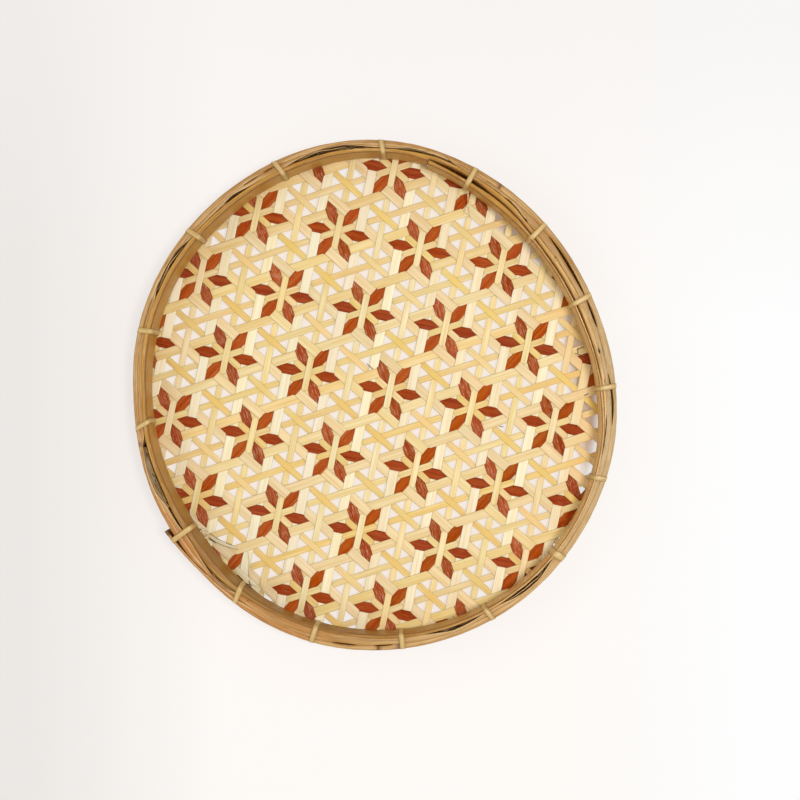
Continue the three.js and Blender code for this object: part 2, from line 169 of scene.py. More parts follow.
# Power of the cosine and the sine that makes its loop square, and half of its thickness
TIE_SQUARE = 0.3
TIE_HALF = 0.24

# Camera: where it stands above the plate, and its lens in pixels of the 800 pixel image
CAMERA_PLACE = (16.4, -2.3, 952.0)
CAMERA_FOCUS = 1530.0
IMAGE_SIZE = 800.0
SENSOR_WIDTH = 36.0
# The lamps: name, place and size in metres
LAMPS = (("high_lamp", (0.44, -0.02, 1.6), 0.36), ("wide_fill", (-1.3, 0.1, 1.05), 1.2))
# Half of the floor's side in metres
FLOOR_HALF = 3.0


# Shapes

def eased(share):
    """Smooth step: three times the square less twice the cube of a share kept within 0 and 1."""
    held = np.clip(share, 0.0, 1.0)
    return held * held * (3 - 2 * held)


def read(table, degrees, spread=1.5, period=360):
    """Straight lines between the entries of a table, averaged over a spread on either side."""
    angles, values = np.array(table).T
    around = np.asarray(degrees, float)[..., None] + np.linspace(-spread, spread, 7)
    return np.interp(around, angles, values, period=period).mean(-1)


def opened(degrees, eyes):
    """Width of the gaps at an angle: the root of a sine from the start of each eye to its end."""
    total = np.zeros(np.shape(degrees))
    for start, end, width in eyes:
        share = (np.mod(degrees - start + 90, 360) - 90) / (end - start)
        total += width * np.sin(math.pi * np.clip(share, 0, 1)) ** 0.6
    return total


def ripple(places, seed, length, size, waves=9):
    """Sum of sine waves with random lengths from half to twice the given one, and random starts."""
    rng = np.random.default_rng(seed)
    lengths = length * 2 ** rng.uniform(-1, 1, waves)
    starts = rng.uniform(0, 2 * math.pi, waves)
    angle = np.asarray(places, float)[..., None] * 2 * math.pi / lengths + starts
    return np.sin(angle).sum(-1) * size / math.sqrt(waves)


def unit(degrees):
    """Unit vector in the direction of an angle."""
    return np.array([math.cos(math.radians(degrees)), math.sin(math.radians(degrees))])


def outer_face(degrees):
    """Radius of the rim's outer face at an angle: its table, smoothed over four degrees either way."""
    return read(OUTER_FACE, degrees, 4)


def split_line(degrees):
    """Radius at an angle where the inner hoop ends and the slot between the hoops begins."""
    return read(SPLIT_LINE, degrees)


def gap_width(degrees):
    """Width at an angle of the open gap between the two hoops."""
    return read(GAP_WIDTH, degrees, 0.7)


def inner_face(degrees):
    """Radius of the innermost face at any angle, on the doubled stretch or the single one."""
    turned = np.mod(np.asarray(degrees, float) - LAP_START, 360) + LAP_START
    return np.where(turned < LAP_END, read(LAP_FACE, turned, 3, None), read(SINGLE_FACE, turned, 3, None))


def mat_height(x, y):
    """Height of the middle of the mat: a shallow dish that rises with the square of the distance."""
    along = x * math.cos(RIM_TURN) + y * math.sin(RIM_TURN)
    across = y * math.cos(RIM_TURN) - x * math.sin(RIM_TURN)
    return DISH_MIDDLE + DISH_RISE * ((along / DISH_LONG) ** 2 + (across / DISH_SHORT) ** 2)


# Meshes

# The least angle between two faces that shows as an edge
SHARP = math.radians(38)
# How far a tint of one shifts the grain of a piece, in metres, so that no two look alike
GRAIN_SHIFT = 0.37


def tube(points, place, zone=0.0, depth=0.0, tint=0.0, closed=False):
    """A closed strip or lath: points[i, j] is corner j of ring i, in millimetres.

    place is the length along the piece of each ring, in millimetres; zone, depth and tint are
    shares that its material reads.
    """
    rings, corners = points.shape[:2]
    wrapped = np.concatenate([points, points[:, :1]], 1)
    girth = np.linalg.norm(np.diff(wrapped, axis=1), axis=2).mean(0)
    return {
        "points": points.reshape(-1, 3) * MM,
        "place": np.broadcast_to(np.asarray(place).reshape(rings, -1), (rings, corners)) * MM,
        "girth": np.concatenate([[0], np.cumsum(girth)]) * MM,
        "zone": np.broadcast_to(zone, (rings, corners)).ravel(),
        "depth": np.broadcast_to(depth, (rings, corners)).ravel(),
        "tint": np.full(rings * corners, tint),
        "closed": closed,
    }


def tube_faces(part):
    """Faces of a tube: a quad joins each pair of rings, and one face closes each end of an open one.

    Gives the numbers of their corners, how many corners each face has, and the corners' places on
    the grain map, which are the lengths along the piece and round it.
    """
    place, girth, closed = part["place"], part["girth"], part["closed"]
    rings, corners = place.shape
    spans = rings if closed else rings - 1
    i, j = np.meshgrid(np.arange(spans), np.arange(corners), indexing="ij")
    next_i, next_j = (i + 1) % rings, (j + 1) % corners
    four = (i, j), (next_i, j), (next_i, next_j), (i, next_j)
    loops = [np.stack([ring * corners + corner for ring, corner in four], -1).ravel()]
    sizes = [np.full(spans * corners, 4)]
    along = np.concatenate([place, place[-1:] + (place[-1:] - place[-2:-1])])
    before, after = along[:spans], along[1:spans + 1]
    near, far = (np.broadcast_to(side, before.shape) for side in (girth[:-1], girth[1:]))
    shift = part["tint"][0] * GRAIN_SHIFT
    u = np.stack([before, after, np.roll(after, -1, 1), np.roll(before, -1, 1)], -1) + shift
    v = np.stack([near, near, far, far], -1) + shift
    grain = [np.stack([u, v], -1).reshape(-1, 2)]
    if not closed:
        first = np.arange(corners)
        loops += [first, (rings - 1) * corners + first[::-1]]
        sizes += [[corners], [corners]]
        grain += [np.stack([np.full(corners, place[0, 0]), girth[:-1]], -1) + shift] * 2
    return np.concatenate(loops), np.concatenate(sizes), np.concatenate(grain)


def make_piece(name, tubes, material, nodes=()):
    """One mesh from several tubes, as a piece that rides on the plate and replaces its CAD nodes."""
    counts = [len(part["points"]) for part in tubes]
    faces = [tube_faces(part) for part in tubes]
    firsts = np.cumsum(counts) - counts
    loops = np.concatenate([face[0] + first for face, first in zip(faces, firsts)])
    sizes = np.concatenate([face[1] for face in faces])
    mesh = bpy.data.meshes.new(name)
    mesh.vertices.add(sum(counts))
    points = np.concatenate([part["points"] for part in tubes])
    mesh.vertices.foreach_set("co", points.astype(np.float32).ravel())
    mesh.loops.add(len(loops))
    mesh.loops.foreach_set("vertex_index", loops.astype(np.int32))
    mesh.polygons.add(len(sizes))
    mesh.polygons.foreach_set("loop_start", (np.cumsum(sizes) - sizes).astype(np.int32))
    mesh.polygons.foreach_set("use_smooth", sizes == 4)
    grain = np.concatenate([face[2] for face in faces])
    mesh.uv_layers.new(name="grain").uv.foreach_set("vector", grain.astype(np.float32).ravel())
    for key in ("zone", "depth", "tint"):
        values = np.concatenate([part[key] for part in tubes]).astype(np.float32)
        mesh.attributes.new(key, "FLOAT", "POINT").data.foreach_set("value", values)
    mesh.update(calc_edges=True)
    mesh.validate()
    mesh.set_sharp_from_angle(angle=SHARP)
    mesh.materials.append(material)
    piece = bpy.data.objects.new(name, mesh)
    bpy.context.scene.collection.objects.link(piece)
    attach(piece, "root")
    if nodes:
        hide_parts(*nodes)


# Weave: heights of the strips

# The nine families of strips, three directions of each kind, and their directions in degrees
KINDS = ("wide",) * 3 + ("thin",) * 3 + ("red",) * 3
TURNS = WEAVE_TURN + np.array([30, 90, 150, 30, 90, 150, 0, 60, 120])
# Of each kind: the length after which its ups and downs repeat, the distance between two strips side
# by side, how far they lie off the flower's middle, and how far the ups and downs of a strip are
# shifted against the last one's
PERIOD = {"wide": 6 * CROSS, "thin": 6 * CROSS, "red": PITCH}
SPACING = {"wide": PITCH / 2, "thin": PITCH / 2, "red": PITCH * math.sqrt(3) / 2}
OFFSET = {"wide": PITCH / 4, "thin": 0.0, "red": 0.0}
SHIFT = {"wide": 3 * CROSS, "thin": 3 * CROSS, "red": PITCH / 2}
THICKNESS = {"wide": 0.32, "thin": 0.28, "red": 0.28}
# The tables of heights: how many rows there are along one period, and where the columns lie across
SAMPLES = {"wide": 180, "thin": 180, "red": 104}
ACROSS = np.linspace(-1, 1, 7)
# The direction of the wide strips that each direction of dyed strips lies over
LAID_OVER = {0: 1, 1: 2, 2: 0}
# How the strips settle: the gap that stays between two of them, the number of rounds, and how much
# longer each push is than the overlap asks for, so that fewer rounds do
CLEARANCE = 0.03
ROUNDS = 400
OVERSHOOT = 1.4
# What a strip keeps in a round of its tilt, its crown and its other bends across. Along it, a wave
# that is 2 pi times STIFF_LENGTH long loses about the share STIFFNESS, and shorter ones lose more
TILT_KEPT = 0.985
CROWN_KEPT = 0.9
REST_KEPT = 0.3
STIFF_LENGTH = 1.6
STIFFNESS = 0.02


def lies_above(f, g, place):
    """True where a strip of family f lies over one of family g; place is the length along f.

    A thin strip meets the other two where the thin ones cross, in the middle of a flower or of a
    star, and the ranks of the three directions say which one is the upper one there.
    """
    a, b = f % 3, g % 3
    pair = KINDS[f], KINDS[g]
    if pair == ("wide", "wide"):
        return (b - a) % 3 == 1
    if pair == ("thin", "thin"):
        at_flower = np.round(place / (2 * CROSS)) % 3 == 0
        flower, star = (1, 2, 0), (1, 0, 2)
        return np.where(at_flower, flower[a] > flower[b], star[a] > star[b])
    if pair == ("thin", "wide"):
        return (np.floor(place / (2 * CROSS)) % 3 == 1) & (a != 2)
    if pair == ("red", "wide"):
        return LAID_OVER[a] == b
    if pair == ("red", "red"):
        return a < b
    return False


def table_place(kind, along, across, line):
    """Place of a point in its strip's table: a row, the next row and the share of that one, and the
    same of the columns.

    along is a length in millimetres, and across runs from -1 to 1.
    """
    at = np.mod(along - line * SHIFT[kind], PERIOD[kind]) / PERIOD[kind] * SAMPLES[kind]
    row = np.floor(at).astype(int) % SAMPLES[kind]
    place = (np.clip(across, -1, 1) + 1) / 2 * (len(ACROSS) - 1)
    column = np.clip(np.floor(place).astype(int), 0, len(ACROSS) - 2)
    return row, (row + 1) % SAMPLES[kind], at - np.floor(at), column, column + 1, place - column


def strip_contacts(width):
    """All pairs of points where two strips of one cell of the weave lie over each other.

    Each point of a table is looked up on the nearest strip of every family that crosses its own.
    Gives the tables' point numbers and, for each pair, the point, the four points round its place
    on the other strip, their shares, the least distance, and whether the first strip is above.
    """
    starts = np.cumsum([0] + [SAMPLES[kind] * len(ACROSS) for kind in KINDS])
    index = [np.arange(a, b).reshape(-1, len(ACROSS)) for a, b in zip(starts, starts[1:])]
    frames = [(unit(turn), unit(turn + 90)) for turn in TURNS]
    pairs = []
    for f, kf in enumerate(KINDS):
        s, u = np.meshgrid(np.arange(SAMPLES[kf]) * PERIOD[kf] / SAMPLES[kf], ACROSS, indexing="ij")
        ahead, side = frames[f]
        x, y = (s * ahead[k] + (u * width[kf] / 2 + OFFSET[kf]) * side[k] for k in (0, 1))
        for g, kg in enumerate(KINDS):
            if TURNS[g] == TURNS[f]:
                continue
            ahead_g, side_g = frames[g]
            across = x * side_g[0] + y * side_g[1] - OFFSET[kg]
            line = np.round(across / SPACING[kg])
            across = (across - line * SPACING[kg]) / (width[kg] / 2)
            met = np.abs(across) <= 1
            # Where the two middle lines cross, as a length along f, and from there along g
            reach = (OFFSET[kg] + line * SPACING[kg] - OFFSET[kf] * (side @ side_g)) / (ahead @ side_g)
            if f // 3 < g // 3:
                foot = OFFSET[kf] * (side @ ahead_g) + reach * (ahead @ ahead_g)
                over = np.logical_not(lies_above(g, f, np.mod(foot - line * SHIFT[kg], PERIOD[kg])))
            else:
                over = lies_above(f, g, np.mod(reach, PERIOD[kf]))
            # Where a second wide strip lies between a dyed one and a wide one, those two don't touch
            if {kf, kg} == {"red", "wide"}:
                red, wide = (f, g) if kf == "red" else (g, f)
                upper = LAID_OVER[red % 3]
                if wide != upper and lies_above(upper, wide, 0):
                    off = x * frames[upper][1][0] + y * frames[upper][1][1] - OFFSET["wide"]
                    off -= np.round(off / SPACING["wide"]) * SPACING["wide"]
                    met &= np.abs(off) > width["wide"] / 2
            along = x * ahead_g[0] + y * ahead_g[1]
            i0, i1, fi, j0, j1, fj = table_place(kg, along, across, line)
            four = np.stack([index[g][i0, j0], index[g][i1, j0], index[g][i0, j1], index[g][i1, j1]], -1)
            share = np.stack([(1 - fi) * (1 - fj), fi * (1 - fj), (1 - fi) * fj, fi * fj], -1)
            apart = np.full(s.shape, (THICKNESS[kf] + THICKNESS[kg]) / 2 + CLEARANCE)
            sign = np.where(np.broadcast_to(over, s.shape), 1.0, -1.0)
            pairs.append([part[met] for part in (index[f], four, share, apart, sign)])
    return index, [np.concatenate(part) for part in zip(*pairs)]


@functools.lru_cache(maxsize=1)
def settle_weave(*widths):
    """Heights of the strips over one cell of the weave, as one table for each family.

    Each round pushes overlapping strips apart by half of what they lack, three times, then bends
    every strip straighter: its middle line, tilt and crown lose their short waves, as a stiff
    strip's do.
    """
    index, (own, other, weight, apart, sign) = strip_contacts(dict(zip(PERIOD, widths)))
    total = index[-1].max() + 1
    height = np.zeros(total)
    basis = np.stack([np.ones(len(ACROSS)), ACROSS, ACROSS ** 2 - np.mean(ACROSS ** 2)])
    norm = (basis ** 2).sum(1)
    soft = {}
    for kind, rows in SAMPLES.items():
        waves = 2 * math.pi * np.fft.rfftfreq(rows, PERIOD[kind] / rows)
        soft[kind] = 1 / (1 + STIFFNESS * (waves * STIFF_LENGTH) ** 4)
    for turn in range(ROUNDS):
        for _ in range(3):
            gap = sign * (height[own] - (height[other] * weight).sum(1)) - apart
            bad = gap < 0
            push = (sign * -gap)[bad] * 0.5
            moved = np.bincount(own[bad], push, total)
            count = np.bincount(own[bad], minlength=total).astype(float)
            moved += np.bincount(other[bad].ravel(), (-push[:, None] * weight[bad]).ravel(), total)
            count += np.bincount(other[bad].ravel(), weight[bad].ravel(), total)
            height += np.where(count > 0, moved / np.maximum(count, 1), 0) * OVERSHOOT
        if turn == ROUNDS - 1:
            break
        for f, kind in enumerate(KINDS):
            level = height[index[f]]
            shape = level @ basis.T / norm
            rest = level - shape @ basis
            shape[:, 1] *= TILT_KEPT
            shape[:, 2] *= CROWN_KEPT
            shape = np.fft.irfft(np.fft.rfft(shape, axis=0) * soft[kind][:, None], SAMPLES[kind], axis=0)
            height[index[f]] = shape @ basis + REST_KEPT * rest
    return [height[part] for part in index]


# Weave: strips

# Corners of a strip's cut end: across, up, and how much of the corner is the darker cut edge. On the side
# at +1, which for the strips at 78 and 138 degrees faces away from the lamp, the dark edge is wider: there
# it is a painted shadow as well as the edge's own colour
STRIP_PROFILE = np.array([
    (-1.0, 0.4, 1.0), (-0.93, 1.0, 0.0), (-0.6, 1.0, 0.0), (-0.2, 1.0, 0.0), (0.2, 1.0, 0.0), (0.6, 1.0, 0.0),
    (0.85, 1.0, 0.0), (1.0, 0.4, 1.0), (1.0, -0.6, 1.0), (0.95, -1.0, 0.5), (0.35, -1.0, 0.0),
    (-0.35, -1.0, 0.0), (-0.95, -1.0, 0.5), (-1.0, -0.6, 1.0),
])
# How dark a cut edge is, partly its own colour and partly painted shadow, and the reach of the deeper
# colour round the middles of the stars, a painted backlight: the thin strips there lie over the holes,
# where light from the floor would come through them
EDGE_STAIN_AND_SHADE = 0.6
STAR_REACH = 6.5
# The distance between two rings of a strip, the least and the greatest height of its ends in the
# slot, how ragged they are, and the radius with which the strip turns up into the slot
STRIP_STEP = 1.6
STRIP_RISE = (13, 20)
RAGGED = 2.5
STRIP_BEND = 1.6
# How the width of a strip and its way vary: length of the waves, and their size as a share or in mm
WIDTH_WAVES = (90, 0.018)
SWAY_WAVES = (140, 0.16)


def strip_level(table, kind, line, along, across):
    """Height of a strip above the mat's middle: the settled table read between its entries."""
    i0, i1, fi, j0, j1, fj = table_place(kind, along, across, line)
    near = table[i0, j0] * (1 - fi) + table[i1, j0] * fi
    far = table[i0, j1] * (1 - fi) + table[i1, j1] * fi
    return near * (1 - fj) + far * fj


def slot_radius(degrees):
    """Radius where the ends of the strips stand: just behind the inner hoop, or in the gap's first third."""
    return split_line(degrees) + 0.1 + gap_width(degrees) * 0.3


def strip_ends(foot, ahead, side, rng):
    """Lengths along a strip's line at which it ends, each at a random height in the slot.

    The slot's radius varies round the rim, so each end starts 100 mm from the middle of the line
    and is moved out to the slot eight times.
    """
    middle = -foot @ ahead
    distance = abs(foot @ side)
    ends = []
    for way in (-1, 1):
        rise = rng.uniform(*STRIP_RISE)
        end = middle + way * 100
        for _ in range(8):
            x, y = foot + ahead * end
            reach = slot_radius(math.degrees(math.atan2(y, x))) + rise
            end = middle + way * math.sqrt(max(reach ** 2 - distance ** 2, 100))
        ends.append(end)
    return ends


def strip_tube(table, family, line, width, seed):
    """One strip of the mat: a flat profile carried along a straight line over the waves.

    Where the strip reaches the slot between the hoops, it turns up through a quarter circle and
    stands along the wall, where its waves are smaller.
    """
    kind = KINDS[family]
    rng = np.random.default_rng(seed)
    ahead, side = unit(TURNS[family]), unit(TURNS[family] + 90)
    foot = FLOWER + side * (OFFSET[kind] + line * SPACING[kind])
    ends = strip_ends(foot, ahead, side, rng)
    share = np.linspace(0, 1, int((ends[1] - ends[0]) / STRIP_STEP))[:, None]
    u, w, edge = STRIP_PROFILE.T
    ragged = [np.interp(u, np.linspace(-1, 1, 6), rng.uniform(-RAGGED, RAGGED, 6)) for _ in ends]
    s = (ends[0] + ragged[0]) * (1 - share) + (ends[1] + ragged[1]) * share
    real = width * (1 + ripple(s[:, :1], seed + 5, *WIDTH_WAVES))
    across = u * real / 2 + ripple(s[:, :1], seed + 9, *SWAY_WAVES)
    x, y = (foot[k] + s * ahead[k] + across * side[k] for k in (0, 1))
    level = strip_level(table, kind, line, s, np.broadcast_to(u, s.shape))
    radius, angle = np.hypot(x, y), np.arctan2(y, x)
    start = slot_radius(np.degrees(angle)) - STRIP_BEND
    over = np.maximum(radius - start, 0)
    turn = np.minimum(over / STRIP_BEND, math.pi / 2)
    climb = np.maximum(over - STRIP_BEND * math.pi / 2, 0)
    held = np.minimum(radius, start)
    thick = level * (1 - 0.6 * eased(climb / 3)) + w * THICKNESS[kind] / 2
    radius = held + STRIP_BEND * np.sin(turn) - thick * np.sin(turn)
    lift = STRIP_BEND * (1 - np.cos(turn)) + climb
    z = mat_height(held * np.cos(angle), held * np.sin(angle)) + lift + thick * np.cos(turn)
    points = np.stack([radius * np.cos(angle), radius * np.sin(angle), z], -1)
    # A deeper colour round the stars' hubs is a painted backlight: light from the floor through the strips
    # that lie over the holes there
    hub = np.mod(s - line * SHIFT[kind], PERIOD[kind]) / (2 * CROSS)
    painted_backlight = sum(np.exp(-((hub - star) * 2 * CROSS / STAR_REACH) ** 2) for star in (1, 2))
    # Darker where the strip stands in the slot, partly dust and partly painted shade of the slot, and at its
    # cut edges, partly their own colour and partly painted shadow
    stain_and_shade = np.maximum(eased((climb - 1) / 4), edge * EDGE_STAIN_AND_SHADE)
    return tube(points, s, zone=stain_and_shade, depth=painted_backlight, tint=rng.uniform(-1, 1))


def strip_lines(family):
    """Numbers of the lines of a family that lie inside the edge of the mat."""
    kind = KINDS[family]
    side = unit(TURNS[family] + 90)
    long_axis = np.array([math.cos(RIM_TURN), math.sin(RIM_TURN)])
    across = side[0] * long_axis[1] - side[1] * long_axis[0]
    edge = math.hypot(side @ long_axis * DISH_LONG, across * DISH_SHORT) - PITCH / 4 * EDGE_ROW
    return [n for n in range(-14, 14) if abs(FLOWER @ side + OFFSET[kind] + n * SPACING[kind]) < edge]


# Rim

# Step between the rings of the two hoops' laths, in degrees
LATH_STEP = 0.6
# Laths that touch overlap by this, so that they read as one, and none is thinner than the second
TOUCH = 0.1
THINNEST = 0.3
# A lath keeps this much of its top flat between its two rounded edges, and where it is too thin for
# that, they shrink to no less than the second number times their size
FLAT_TOP = 0.6
LEAST_SHARE = 0.05
# Length of the fibres that stand up from a lath, in degrees, and how much of them shows sideways
FIBRE_WAVE = 6
FIBRE_SIDEWAYS = 0.3


def lath_profile(round_out, round_in):
    """Corners of a lath's cut end, with its two top edges rounded by the given radii in mm.

    Each row is a share of the thickness, an inset in mm, a share of the height, an inset in mm, and
    how much of the corner belongs to the inner edge of the top.
    """
    arc = np.radians([0, 32, 64])
    rows = [(1, -0.5, 0, 0, 0), (1, 0, 0, 0.5, 0), (1, 0, 0.33, 0, 0), (1, 0, 0.66, 0, 0)]
    rows += [(1, -round_out * (1 - math.cos(a)), 1, -round_out * (1 - math.sin(a)), 0) for a in arc]
    rows += [(0.76, 0, 1, 0, 0), (0.5, 0, 1, 0, 0), (0, round_in + 0.35, 1, 0, 0.1)]
    rows += [(0, round_in * (1 - math.cos(a)), 1, -round_in * (1 - math.sin(a)), 1) for a in arc[::-1]]
    rows += [(0, 0, 0.93, 0, 0), (0, 0, 0.5, 0, 0), (0, 0, 0, 0.5, 0), (0, 0.5, 0, 0, 0)]
    return np.array(rows)


def lath_tube(degrees, inner, outer, bottom, top, seed, lean=0.0, rounds=(0.6, 0.6), crown=0.25, rough=0.1,
              edge=1.0, closed=False, depth=0.0, tint=0.0):
    """A bent lath: the cut end of a lath carried round the rim, in arrays over its run.

    Its top is a flat arch as high as crown, and fibres as high as rough stand up from it.
    """
    share_x, dx, share_z, dz, rim_edge = (column[None, :] for column in lath_profile(*rounds).T)
    inner, outer, bottom, top, lean, edge, depth = (
        np.broadcast_to(np.asarray(run, float), degrees.shape)[:, None]
        for run in (inner, outer, bottom, top, lean, edge, depth)
    )
    thick = outer - inner
    squeeze = np.clip(thick / (sum(rounds) + FLAT_TOP), LEAST_SHARE, 1)
    height = top - bottom
    upper = (share_z == 1) * 1.0
    level = bottom + height * share_z + dz * np.where(share_z == 1, squeeze, 1)
    level = level + crown * squeeze * upper * (4 * share_x * (1 - share_x))
    radius = inner + thick * share_x + dx * squeeze + lean * (level - bottom) / height
    fibres = np.stack([ripple(degrees, seed + j, FIBRE_WAVE, 1.0) for j in range(share_x.size)], 1)
    level = level + fibres * rough * upper
    radius = radius + fibres * rough * FIBRE_SIDEWAYS
    angle = np.radians(degrees)[:, None]
    level = np.broadcast_to(level, radius.shape)
    points = np.stack([radius * np.cos(angle), radius * np.sin(angle), level], -1)
    # The length along the lath is that of the line along its top
    place = np.cumsum(np.r_[0, np.linalg.norm(np.diff(points[:, 7], axis=0), axis=1)])
    return tube(points, place, zone=rim_edge * edge, depth=depth, tint=tint, closed=closed)


def scarred(degrees):
    """Share of a node's scar at an angle: a narrow bell over each scar."""
    away = np.mod(np.asarray(degrees)[:, None] - np.array(SCARS) + 180, 360) - 180
    return np.exp(-(away / SCAR_REACH) ** 2).sum(1)


def outer_hoop_tubes():
    """The outer hoop: a strand with the skin, whose two ends lap, and a strand behind it.

    The free end is shaved thin and gets its full thickness over 18 degrees, 12 degrees from its tip.
    The other end slips under it. Where the two strands touch they overlap a little.
    """
    run = np.arange(OUTER_LAP_START, 360, LATH_STEP)
    run = np.concatenate([run, np.arange(360, 360 + OUTER_LAP_END, LATH_STEP)])
    past = run - OUTER_LAP_START
    face, eye, skin = outer_face(run), opened(run, SKIN_EYES), read(SKIN_WIDTH, run)
    growth = (eased((past - whole - 12) / 18) for whole in (0, 360))
    shaved, cover = (FREE_END_THICKNESS + (skin - FREE_END_THICKNESS) * share for share in growth)
    outer = face + read(FREE_END, run, 1, None)
    inner = outer - np.where(past < 40, shaved, skin) + eye / 2
    under = run > 360 + OUTER_LAP_START - 3
    covered = face + read(FREE_END, run - 360, 1, None) - cover - TOUCH
    outer = np.where(under, np.minimum(outer, covered), outer)
    inner = np.where(under, np.minimum(face - skin, outer - THINNEST), inner)
    inner = inner - 0.3 * (1 - eased(eye / 0.3)) * (past > 14)
    top = OUTER_TOP + ripple(run, 21, 40, 0.25) - 0.8 * (1 - eased(past / 20)) - 0.7 * under
    scar = scarred(run) + (past < 1.2) * 0.8
    # Where the gap is open, the inner top edges of both strands take the material's edge colour, a painted
    # highlight
    gap = eased(gap_width(run) / 0.6)
    front = lath_tube(run, inner, outer, OUTER_BOTTOM, top, 100, rounds=(1.0, 0.5), edge=gap, depth=scar,
                      tint=0.3)
    run = np.linspace(0, 360, 620, endpoint=False)
    inner = split_line(run) + gap_width(run) - TOUCH
    outer = outer_face(run) - read(SKIN_WIDTH, run) - opened(run, SKIN_EYES) / 2
    outer = np.maximum(outer, inner + 0.35)
    top = OUTER_TOP + 0.1 + ripple(run, 23, 40, 0.2)
    gap = eased(gap_width(run) / 0.6)
    behind = lath_tube(run, inner, outer, OUTER_BOTTOM + 0.4, top, 140, rounds=(0.8, 0.25), crown=0.1,
                       edge=gap, closed=True, tint=-0.2)
    return [front, behind]


def inner_hoop_tubes():
    """The inner hoop: from its thin end behind the lap, once round, to the blunt end at the front.

    Where it is doubled, the front layer ends at the lap's line, and the back one begins there. Where
    it is single and thick, its wall leans outwards.
    """
    run = np.arange(LAP_START, 360 + LAP_END, LATH_STEP)
    split = split_line(run)
    back = run < LAP_END
    front = run > 360 + LAP_START
    here = np.where(front, run - 360, run)
    line, gap = read(LAP_LINE, here, 2, None), read(LAP_GAP, here, 0.7, None)
    single = read(SINGLE_FACE, run, 3, None)
    inner = np.where(back, line + gap / 2, single)
    inner = np.where(front, read(LAP_FACE, here, 3, None), inner)
    blend = eased((run - LAP_END) / 6)
    start = split_line(LAP_END) - read(LAP_LINE, LAP_END, 2, None) - TOUCH
    inner = np.where(~back & ~front, np.minimum(inner, split - start * (1 - blend)), inner)
    outer = np.where(front, line - gap / 2, split)
    outer = outer + 0.2 * (1 - eased(gap / 0.2)) * front
    lean = np.where(back | front, 0, np.clip(0.6 * (split - single - 2.2), 0, 2)) * blend
    thick = np.maximum(outer - inner - lean, THINNEST)
    top = INNER_TOP + ripple(run, 31, 45, 0.25) - 0.4 * front - 0.5 * back * eased((LAP_END - run) / 10)
    return [lath_tube(run, inner, inner + thick, INNER_BOTTOM, top, 180, lean=lean, rounds=(0.8, 0.9),
                      crown=0.35)]


def sliver_tubes():
    """Thin blades that have split off and stand in the widest gaps between the hoops."""
    bow = np.sin(math.pi * np.linspace(0, 1, 36))
    half = 0.08 + 0.16 * bow
    tubes = []
    for number, (start, end, share) in enumerate(SLIVERS):
        run = np.linspace(start, end, 36)
        middle = split_line(run) + gap_width(run) * (share + 0.12 * ripple(run, 60 + number, 9, 1))
        top = OUTER_TOP - 1.8 * (1 - share) + 0.5 * bow + ripple(run, 80 + number, 7, 0.3)
        tubes.append(lath_tube(run, middle - half, middle + half, top - 7, top, 300 + 20 * number,
                               rounds=(0.1, 0.1), crown=0.05, rough=0.06, tint=1.0))
    return tubes


def twisted_tubes():
    """The grey strands that have twisted out of the outer hoop and fill its widest gaps."""
    bow = np.sin(math.pi * np.linspace(0, 1, 44)) ** 0.5
    tubes = []
    for number, (start, end) in enumerate(TWISTED):
        run = np.linspace(start, end, 44)
        inner = split_line(run) + 0.2 + 0.5 * bow
        outer = np.maximum(split_line(run) + gap_width(run) + TOUCH, inner + 0.15)
        top = OUTER_TOP - 1.6 + 1.0 * bow
        tubes.append(lath_tube(run, inner, outer, OUTER_BOTTOM + 6, top, 500 + 30 * number, rounds=(0.3, 0.8),
                               crown=0.5, rough=0.25, edge=0.0))
    return tubes


def frayed_tubes():
    """Dark frayed ends of the strips in the gaps: short leaning blades between the two hoops.

    One stands every 0.35 degrees where the gap is wide enough, and each is 6 mm deep, 0.6 to 2.8
    degrees long and 0.16 to 0.4 mm thick.
    """
    rng = np.random.default_rng(77)
    tubes = []
    for at in np.arange(60, 360, 0.35):
        room = float(gap_width(at))
        if room < 0.7 or any(start < at < end for start, end in TWISTED):
            continue
        reach = rng.uniform(0.3, 1.4)
        run = np.linspace(at - reach, at + reach, 6)
        middle = split_line(run) + room * rng.uniform(0.1, 0.85)
        tilt = rng.uniform(-2.0, 2.0) * np.linspace(-1, 1, 6)
        top = 22.0 + rng.uniform(-4.5, 2.6) + tilt + rng.uniform(-0.5, 0.5, 6)
        half = rng.uniform(0.08, 0.2)
        tubes.append(lath_tube(run, middle - half, middle + half, top - 6, top, 900, rounds=(0.05, 0.05),
                               crown=0.0, rough=0.02, edge=0.0, tint=rng.uniform(-1, 1)))
    return tubes


# Corners of a tie's cut end: across and outwards, with two ridges on its outer side
TIE_PROFILE = (
    (-1, 0), (-0.85, 0.75), (-0.35, 0.95), (0, 0.85), (0.35, 0.95), (0.85, 0.75), (1, 0), (0.7, -1),
    (-0.7, -1),
)


